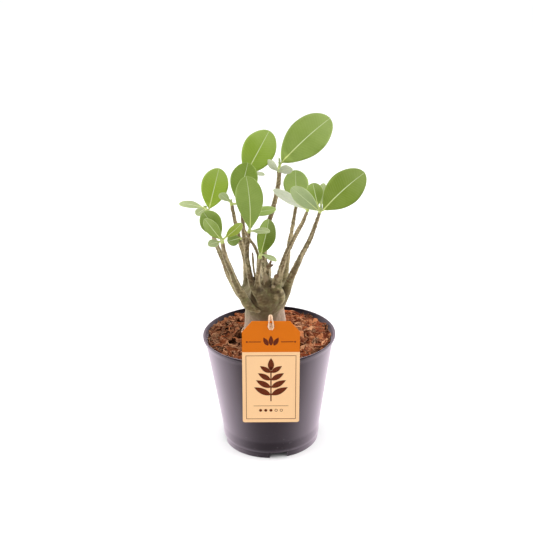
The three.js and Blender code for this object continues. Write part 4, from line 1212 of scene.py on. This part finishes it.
def fibre():
    """The skin of one curled coir fibre that lies on the chips."""
    reach = math.sqrt(rng.uniform(23**2, 55**2))
    start = np.array([*polar(reach, rng.uniform(0, 2 * math.pi)), rng.uniform(100, 103.2)])
    heading, bend = rng.uniform(0, 2 * math.pi), rng.uniform(-0.8, 0.8)
    points, length = [], rng.uniform(5, 15)
    for k in range(5):
        points.append((*start, rng.uniform(0.35, 0.85) * (1 if 0 < k < 4 else 0.5)))
        heading += bend + rng.uniform(-0.3, 0.3)
        start = start + np.array([*polar(1, heading), rng.uniform(-0.25, 0.25)]) * length / 4
    return tube(catmull(points, 3), 6)


def make_soil(material):
    parts = Parts()
    verts, faces = soil_bed()
    parts.add(verts, faces, tone=CHIP_TONES["dark"], lay=verts, rim=0.0)
    shape, shape_faces = block(8, 5, 2)
    rim = 2 * np.abs(shape[:, :2]).max(1)

    def lay_chip(size, at, turn, tone=None):
        tone = tone or CHIP_MIX[rng.integers(len(CHIP_MIX))]
        points = chip_shape(shape, size)
        shift = rng.uniform(-50, 50, 3)
        placed = kept_inside(points @ rotation(turn).T + np.array(at))
        # Each chip's tone varies at random; on top of that, painted shade darkens the chips far on the left
        # and painted light lifts the rest a little.
        light = rng.uniform(0.8, 1.2) * (1.12 - LEFT_SHADE * step(-at[0], 6, 34))
        parts.add(placed, shape_faces, tone=np.array(CHIP_TONES[tone]) * light, lay=points + shift, rim=rim)

    for count, *ranges, spread in CHIP_GROUPS:
        for _ in range(count):
            reach = math.sqrt(rng.uniform(CHIP_REACH[0]**2, CHIP_REACH[1]**2))
            x, y = polar(reach, rng.uniform(0, 2 * math.pi))
            *size, lift = [rng.uniform(*limits) for limits in ranges]
            hollow = BED_RELIEF * noise.noise(Vector((x, y, 3)) * 0.085) * step(reach, 58, 50)
            hollow -= LEFT_HOLLOW * step(-x, 12, 30) * step(reach, 52, 44)
            turn = (*rng.normal(0, spread, 2), rng.uniform(0, 360))
            if math.hypot(x - TRUNK_X, y) > TRUNK_GAP + size[1] / 2:
                lay_chip(size, (x, y, BED_EDGE + lift + hollow), turn)
    for k in range(RIM_CHIPS):
        angle = 2 * math.pi * (k + rng.uniform(-0.4, 0.4)) / RIM_CHIPS
        reach, along = rng.uniform(*RIM_REACH), math.degrees(angle) + 90 + rng.normal(0, 35)
        at = (*polar(reach, angle), rng.uniform(*RIM_HEIGHTS[0 if k % 5 == 0 else 1]))
        size = (rng.uniform(8, 14), rng.uniform(3, 6.5), rng.uniform(1.6, 3))
        lay_chip(size, at, (*rng.normal(0, 11, 2), along))
    for chip in NAMED_CHIPS:
        lay_chip(*chip)
    for _ in range(FIBRE_COUNT):
        skin, skin_faces = fibre()
        if np.hypot(skin[:, 0] - TRUNK_X, skin[:, 1]).min() > TRUNK_GAP - 0.5:
            tone = CHIP_TONES[FIBRE_TONES[rng.integers(len(FIBRE_TONES))]]
            parts.add(kept_inside(skin), skin_faces, tone=tone, lay=skin * 2, rim=0.5)
    return parts.build("bark_chip_bed", [material], sharp=50)


# ------------------------------------------------------------------ leaves
BLADE_STEPS = 34
BLADE_COLUMNS = 15
PETIOLE_STEPS = 6
PETIOLE_RADIUS = 0.85
BLADE_THICKNESS = 0.78
UPPER, BENEATH, GREEN = 0, 1, 2  # material slots of a spray
NO_RIB = dict(along=0.0, ripe=0.0, rib=9.0, vein=0.0, edge=9.0)  # a point far from any rib or margin
# How the half width of the midrib and the distance between veins grow with the leaf's width.
LEAF_WIDTHS = (3, 12, 33)
RIB_HALVES = (0.22, 0.42, 0.75)
VEIN_PITCHES = (1.2, 1.7, 2.5)


def outline(t, widest, blunt):
    return np.sin(np.pi * t ** (math.log(0.5) / math.log(widest))) ** (blunt - 0.1 * t)


def leaf_axes(entry):
    """Where a leaf's blade starts, its length, and its directions: along, sideways and up."""
    foot, end = np.array(entry["base"], float), np.array(entry["tip"], float)
    axis = unit(end - foot)
    face = np.array(entry["face"], float)
    up = unit(face - np.dot(face, axis) * axis)
    return foot, np.linalg.norm(end - foot), axis, np.cross(axis, up), up


def section(u, flat, half, at, fold, wave):
    """One cross-section: how far its columns lift, and half its thickness at each."""
    thick = (1 - flat) * 2 * half * 0.92 + flat * BLADE_THICKNESS * (1 - 0.35 * at)
    body = np.sqrt(np.maximum(1 - np.abs(u) ** (2 + 4 * flat), 0))
    trough = fold * half * (np.sqrt(u**2 + 0.03) - 0.17)
    return flat * (trough + 0.05 * half * np.abs(u) ** 2 * np.sin(wave)), body * thick / 2


def add_leaf(parts, entry, root):
    """One leaf: a round petiole that widens into an obovate blade with a rounded margin."""
    foot, length, axis, side, up = leaf_axes(entry)
    t = np.linspace(0, 1, BLADE_STEPS)
    t = 0.5 * (t + 0.5 * (1 - np.cos(np.pi * t)))
    hump = 4 * t * (1 - t)
    centre = foot + axis * (t * length)[:, None] + side * (entry["bow"] * hump)[:, None]
    centre = centre + up * (entry["curl"] * length * (0.6 * hump - t**3))[:, None]
    shape = outline(np.minimum(t, 0.999), entry["widest"], entry["blunt"])
    half = np.maximum(entry["width"] / 2 * shape, PETIOLE_RADIUS * (1 - 0.5 * t))
    s = np.linspace(0, 1, PETIOLE_STEPS, endpoint=False)[:, None]
    knee = foot - axis * 0.45 * np.linalg.norm(foot - root)
    stalk = (1 - s) ** 2 * root + 2 * s * (1 - s) * knee + s**2 * foot
    centres = np.vstack([stalk, centre])
    t_all = np.concatenate([np.zeros(PETIOLE_STEPS), t])
    halves = np.concatenate([np.linspace(PETIOLE_RADIUS + 0.25, PETIOLE_RADIUS, PETIOLE_STEPS), half])
    blade = np.concatenate([np.zeros(PETIOLE_STEPS), step(t, 0, 0.16)])
    tangents = units(np.gradient(centres, axis=0))
    sides = units(side - (tangents @ side)[:, None] * tangents)
    ups = np.cross(sides, tangents)
    u = np.linspace(-1, 1, BLADE_COLUMNS)
    around = np.concatenate([u, u[1:-1][::-1]])
    phase, waves = rng.uniform(0, 6.28, 2), rng.uniform(1.6, 2.6)
    rib_half = np.interp(entry["width"], LEAF_WIDTHS, RIB_HALVES)
    pitch = np.interp(entry["width"], LEAF_WIDTHS, VEIN_PITCHES)
    rows, values = [], {"along": [], "ripe": [], "rib": [], "vein": [], "edge": []}
    for i, (middle, at) in enumerate(zip(centres, t_all)):
        wave = 2 * np.pi * waves * at + phase[0] + np.sign(u) * phase[1]
        lift, swell = section(u, blade[i], halves[i], at, entry["fold"], wave)
        across = sides[i] * (u * halves[i])[:, None]
        top = middle + across + ups[i] * (lift + swell)[:, None]
        under = middle + across + ups[i] * (lift - swell)[:, None]
        rows.append(np.vstack([top, under[1:-1][::-1]]))
        away = np.abs(around) * halves[i]
        values["along"] += [at] * len(around)
        values["ripe"] += [at * entry["ripe"]] * len(around)
        values["rib"] += list(away / (rib_half * (1.05 - 0.8 * at)))
        values["vein"] += list((at * length - 0.62 * away + 0.012 * away**2) / pitch)
        values["edge"] += list(halves[i] - away)
    ring = [UPPER] * (BLADE_COLUMNS - 1) + [BENEATH] * (len(around) - BLADE_COLUMNS + 1)
    slots = [GREEN] * (PETIOLE_STEPS * len(around)) + ring * (len(rows) - 1 - PETIOLE_STEPS) + [GREEN, UPPER]
    # Painted light and shade: `halves` makes one half of the blade lighter and the other darker.
    left, right = entry["halves"]
    turn = step(np.tile(around, len(rows)), -0.2, 0.2)
    shade = rng.uniform(0.95, 1.05) * (left + (right - left) * turn)[:, None]
    tone, tone_under = (np.array(colour) * shade for colour in TONES[entry["tone"]])
    parts.add(np.vstack(rows), ring_faces(len(rows), len(around)), slots, tone=tone, tone_under=tone_under,
              young=0.0, **values)


def add_bud(parts, branch):
    """The green growing tip of a branch, with a few tiny leaves. Gives the point that petioles leave from."""
    points = np.array(BRANCHES[branch], float)
    along = unit(points[-1, :3] - points[-2, :3])
    last, radius = points[-1, :3], points[-1, 3] * 0.95
    stations = [(CLEAR, 0.98), (1.0, 1.06), (2.0, 1.0), (3.0, 0.82), (3.8, 0.58), (4.3, 0.3)]
    path = np.array([(*(last + along * d), radius * r) for d, r in stations])
    verts, faces = tube(catmull(path, 3), 14)
    tone, under = TONES["fresh"]
    parts.add(verts, faces, GREEN, tone=tone, tone_under=under, young=1.0, **NO_RIB)
    heart = last + along * (CLEAR + 2)
    side = unit(np.cross(along, (0.3, 0.2, 1)))
    other = np.cross(along, side)
    for k in range(4):
        angle = 2.4 * k + rng.uniform(0, 1)
        out = side * math.cos(angle) + other * math.sin(angle)
        base = heart + along * 1.2 + out * 0.5
        tip = base + along * rng.uniform(2.4, 3.8) + out * rng.uniform(0.3, 1.6)
        add_leaf(parts, leaf(base, tip, rng.uniform(1.3, 1.9), -out, "fresh", widest=0.5), heart)
    return heart


def make_leaves(materials):
    made = {}
    for node, (stand, leaves) in SPRAYS.items():
        parts = Parts()
        single = not isinstance(stand, str)
        root = np.array(stand, float) if single else add_bud(parts, stand)
        for entry in leaves:
            add_leaf(parts, entry, root)
        made[node] = parts.build(("single_" if single else "spray_") + node, materials)
    return made


# ------------------------------------------------------------------ swing tag
FRAME_MARGIN = 3.2  # between the tag's edges and the printed frame, above and below
LINE = 0.45  # width of the frame's lines
SPRIG_FOOT = -27.5
SPRIG_PAIRS = 4
DOT_RADIUS = 1.35
DOTS_Z = -36.5
# The three printed leaves on the band: sideways place, lean and height.
CREST = [(-5.2, -1.2, 7.6), (0, 0, 9.5), (5.2, 1.2, 7.6)]
CREST_DROP = 19  # from the tag's top edge to the middle of the crest


def from_tag(points):
    """Turns (x, y, z) in the tag's own frame, its middle at the origin, to the plant's frame."""
    points = np.asarray(points, float)
    c, s = math.cos(TAG_TWIST), math.sin(TAG_TWIST)
    x = TAG_CENTRE_X + c * points[:, 0] + s * points[:, 2]
    z = TAG_BOTTOM_Z + TAG_HEIGHT / 2 - s * points[:, 0] + c * points[:, 2]
    return np.stack([x, points[:, 1], z], 1)


def slab(loops, front, back):
    """A flat plate with holes, from closed (x, z) loops, between two depths."""
    flat = [Vector((x, z, 0)) for loop in loops for x, z in loop]
    caps = geometry.tessellate_polygon([[Vector((x, z, 0)) for x, z in loop] for loop in loops])
    count = len(flat)
    verts = [(p.x, front, p.y) for p in flat] + [(p.x, back, p.y) for p in flat]
    faces = [tuple(tri) for tri in caps] + [tuple(i + count for i in tri) for tri in caps]
    start = 0
    for loop in loops:
        n = len(loop)
        for k in range(n):
            a, b = start + k, start + (k + 1) % n
            faces.append((a, b, b + count, a + count))
        start += n
    return verts, faces


def disc(x, z, radius, sides=28):
    return arc((x, z), radius, 0, 360 - 360 / sides, sides)


def bar(x0, z0, x1, z1):
    return [(x0, z0), (x1, z0), (x1, z1), (x0, z1)]


def leaf_loop(base, tip, width, count=12):
    """A pointed printed leaf."""
    base, tip = np.array(base, float), np.array(tip, float)
    along = tip - base
    across = np.array([-along[1], along[0]]) / np.linalg.norm(along)
    t = np.linspace(0, 1, count)
    half = width / 2 * np.sin(np.pi * t**0.85) ** 0.9
    left = [tuple(base + along * a + across * h) for a, h in zip(t, half)]
    right = [tuple(base + along * a - across * h) for a, h in zip(t, half)]
    return left + right[-2:0:-1]


def tag_print():
    """A generic sprig, a frame and a few dots, without lettering."""
    low, high = -TAG_HEIGHT / 2 + FRAME_MARGIN, TAG_HEIGHT / 2 - TAG_BAND - FRAME_MARGIN
    half, foot, band = TAG_WIDTH / 2 - 3, SPRIG_FOOT, TAG_HEIGHT / 2 - CREST_DROP
    loops = [[bar(*corners)] for corners in (
        (-half, low, half, low + LINE), (-half, high - LINE, half, high),
        (-half, low, -half + LINE, high), (half - LINE, low, half, high), (-0.55, foot, 0.55, 6),
    )]
    for k in range(SPRIG_PAIRS):
        z = foot + 6 + 7.2 * k
        reach, drop = 14.5 - 1.7 * k, 7.5 - 0.4 * k
        for sign in (-1, 1):
            loops.append([leaf_loop((0.2 * sign, z), (sign * reach, z + drop), 5.6 - 0.35 * k)])
    loops.append([leaf_loop((0, 2), (0, 14), 5.4)])
    for k in range(5):
        x = -9 + 4.5 * k
        hollow = [disc(x, DOTS_Z, 0.85)[::-1]] if k > 2 else []
        loops.append([disc(x, DOTS_Z, DOT_RADIUS), *hollow])
    loops.append([bar(-15, -32.3, 15, -31.9)])
    for x, lean, tall in CREST:
        loops.append([leaf_loop((x * 0.45, band - 3.5), (x + lean, band - 3.5 + tall), 3.9)])
    for sign in (-1, 1):
        loops.append([bar(sign * 8.5, band - 0.35, sign * 19, band + 0.35)])
        loops.append([disc(sign * 20.4, band, 0.8)])
    return loops


def make_tag(card, ink):
    half, top, (across, down) = TAG_WIDTH / 2, TAG_HEIGHT / 2, TAG_SHOULDER
    inset, low = half - TAG_CORNER, -top + TAG_CORNER
    outer = arc((-inset, low), TAG_CORNER, 180, 270, 7) + arc((inset, low), TAG_CORNER, 270, 360, 7)
    outer += [(half, top - down), (half - across, top), (-half + across, top), (-half, top - down)]
    hole = disc(0, top - TAG_HOLE_DROP, TAG_HOLE_RADIUS, 36)[::-1]
    front = TAG_BACK_Y - TAG_THICKNESS
    verts, faces = slab([outer, hole], front, TAG_BACK_Y)
    plate = solid("swing_tag", from_tag(verts), faces)
    round_off = plate.modifiers.new("edge", "BEVEL")
    round_off.width = 0.16 * MM
    round_off.segments = 2
    round_off.limit_method = "ANGLE"
    round_off.angle_limit = math.radians(50)
    apply_modifiers(plate)
    co = np.empty(len(plate.data.vertices) * 3)
    plate.data.vertices.foreach_get("co", co)
    co = co.reshape(-1, 3) / MM
    c, s = math.cos(TAG_TWIST), math.sin(TAG_TWIST)
    put(plate, "up", (co[:, 0] - TAG_CENTRE_X) * s + (co[:, 2] - TAG_BOTTOM_Z - top) * c)
    finish_mesh(plate, [card], sharp=30)
    parts = Parts()
    for loops in tag_print():
        verts, faces = slab(loops, front - 0.05, front + 0.02)
        parts.add(from_tag(verts), faces)
    return plate, parts.build("tag_print", [ink], sharp=30)


# The tie: how far its strands keep off the card, how high it peaks over the tag, and the lay of its strands.
TIE_GAP = 0.25
TIE_PEAK = 5.0
TIE_TURN = 3.4  # length of one turn of the strands
STRANDS = 3


def tie_path():
    """The tie's closed route: round the trunk, over the tag, down as a drop, through the hole and up."""
    hole_x = TAG_CENTRE_X + math.sin(TAG_TWIST) * (TAG_HEIGHT / 2 - TAG_HOLE_DROP)
    tag_top = TAG_BOTTOM_Z + TAG_HEIGHT
    hole_z = tag_top - TAG_HOLE_DROP
    front_y = TAG_BACK_Y - TAG_THICKNESS - CORD_RADIUS - TIE_GAP
    card_y = TAG_BACK_Y - TAG_THICKNESS / 2
    back_y = TAG_BACK_Y + CORD_RADIUS + TIE_GAP
    peak_z = tag_top + TIE_PEAK
    # One half, as (sideways from the middle line, y, z), from the bight down to the trunk.
    half = [
        (0.9, back_y + 0.7, peak_z - 0.8), (1.3, back_y + 0.6, peak_z - 2.2),
        (1.4, back_y + 0.3, tag_top - 0.4), (1.2, back_y, hole_z),
        (0.6, card_y + 0.5, hole_z - 1.6), (0.6, card_y - 0.5, hole_z - 2.1),
        (0.8, front_y, hole_z - 2.7), (1.75, front_y, hole_z - 1.5),
        (2.0, front_y, hole_z + 0.2), (1.55, front_y, tag_top + 0.1),
        (0.8, front_y + 0.4, peak_z - 1.2), (0.6, card_y + 0.4, peak_z),
        (0.6, back_y + 1.4, peak_z - 1), (0.7, -50, 138), (0.9, -36, 123.5), (1.1, -26, 111.5),
    ]
    ring_radius = TRUNK_RADIUS_AT_TIE + CLEAR + CORD_RADIUS + 0.5
    facing = math.atan2(front_y, hole_x - TRUNK_X)
    ring = []
    for i in range(TIE_RING_SPANS + 1):
        degrees = TIE_RING_OPENING + (360 - 2 * TIE_RING_OPENING) * i / TIE_RING_SPANS
        x, y = polar(ring_radius, facing + math.radians(degrees))
        ring.append((TRUNK_X + x, y, CORD_RING_Z))

    def middle(y):
        return TRUNK_X + (hole_x - TRUNK_X) * (y / front_y)

    right, left = [[(middle(y) + sign * x, y, z) for x, y, z in half] for sign in (1, -1)]
    bight = (middle(back_y), back_y + 0.8, peak_z - 0.4)
    return [bight, *right, *ring, *left[::-1]]


def make_tie(material):
    route = catmull(tie_path(), 10, closed=True)
    _, first, second = frames(route, closed=True)
    spacing = np.linalg.norm(np.roll(route, -1, 0) - route, axis=1)
    length = spacing.sum()
    phase = 2 * np.pi * round(length / TIE_TURN) * np.concatenate([[0], np.cumsum(spacing)[:-1]]) / length
    parts = Parts()
    strand = CORD_RADIUS * 0.56
    for k in range(STRANDS):
        angle = (phase + 2 * np.pi * k / STRANDS)[:, None]
        centres = route + (first * np.cos(angle) + second * np.sin(angle)) * (CORD_RADIUS - strand)
        parts.add(*tube(np.hstack([centres, np.full((len(centres), 1), strand)]), 8, closed=True))
    return parts.build("tag_tie_cord", [material])


# ------------------------------------------------------------------ light, floor and camera
# Area lights: place, aim, size and radiance, all in metres.
SOFTBOXES = {
    "left_box": ((-1.05, 0.12, 0.42), (0, 0, 0.13), (1.5, 1.0), 3.4),
    "right_box": ((1.05, 0.12, 0.42), (0, 0, 0.13), (1.5, 1.0), 3.4),
    "front_key": ((0.15, -1.3, 1.35), (0, 0, 0.15), (1.2, 0.8), 0.45),
}
SUN_STRENGTH = 2.15
SUN_SPREAD = math.radians(70)
WORLD_STRENGTH = 0.42
# The camera that fits the photo: its place in metres, how far it looks down and leans, and its lens.
CAMERA_AT = (-0.0011, -0.83645, 0.50139)
CAMERA_DOWN = math.radians(21.66)
CAMERA_LEAN = math.radians(-1.27)
CAMERA_LENS = 68.83
CAMERA_SENSOR = 36
FLOOR_RINGS = (300, 1500, 12000)


def make_light():
    for name, (at, towards, size, radiance) in SOFTBOXES.items():
        light = bpy.data.lights.new(name, "AREA")
        light.shape = "RECTANGLE"
        light.size, light.size_y = size
        light.energy = radiance * math.pi * size[0] * size[1]
        box = linked(name, light)
        box.location = at
        box.rotation_euler = (Vector(towards) - Vector(at)).to_track_quat("-Z", "Y").to_euler()
    sun = bpy.data.lights.new("overhead", "SUN")
    sun.energy = SUN_STRENGTH
    sun.angle = SUN_SPREAD
    linked("overhead", sun)
    world = bpy.data.worlds.new("studio")
    world.use_nodes = True
    background = world.node_tree.nodes["Background"]
    background.inputs["Color"].default_value = (1, 1, 1, 1)
    background.inputs["Strength"].default_value = WORLD_STRENGTH
    bpy.context.scene.world = world
    bpy.context.scene.view_settings.view_transform = "Standard"


def make_floor(material):
    verts, faces = lathe([(0, 0), *((radius, 0) for radius in FLOOR_RINGS)], 64)
    floor = new_object("studio_floor", verts, faces, [material])


def make_camera():
    camera = bpy.data.cameras.new("photo_camera")
    camera.lens = CAMERA_LENS
    camera.sensor_width = CAMERA_SENSOR
    camera.clip_start = 0.01
    camera.clip_end = 50
    obj = linked("photo_camera", camera)
    turn = Matrix.Rotation(math.pi / 2 - CAMERA_DOWN, 4, "X") @ Matrix.Rotation(CAMERA_LEAN, 4, "Z")
    obj.matrix_world = Matrix.Translation(CAMERA_AT) @ turn
    bpy.context.scene.camera = obj


# ------------------------------------------------------------------ assembly
def dress(piece, node=None):
    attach(piece, "root")
    if node:
        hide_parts(node)


make_camera()
make_light()
make_floor(floor_material())
dress(make_pot(pot_material()), "pot")
dress(make_soil(chip_material()), "growing_medium")
dress(make_trunk(bark_material()), "trunk_and_branches")
leaf_slots = [*map(leaf_material, LEAF_SIDES), petiole_material()]
for node, piece in make_leaves(leaf_slots).items():
    dress(piece, node)
tag, printed = make_tag(card_material(), print_material())
dress(tag, "hang_tag")
dress(printed)
dress(make_tie(cord_material()), "tag_tie")
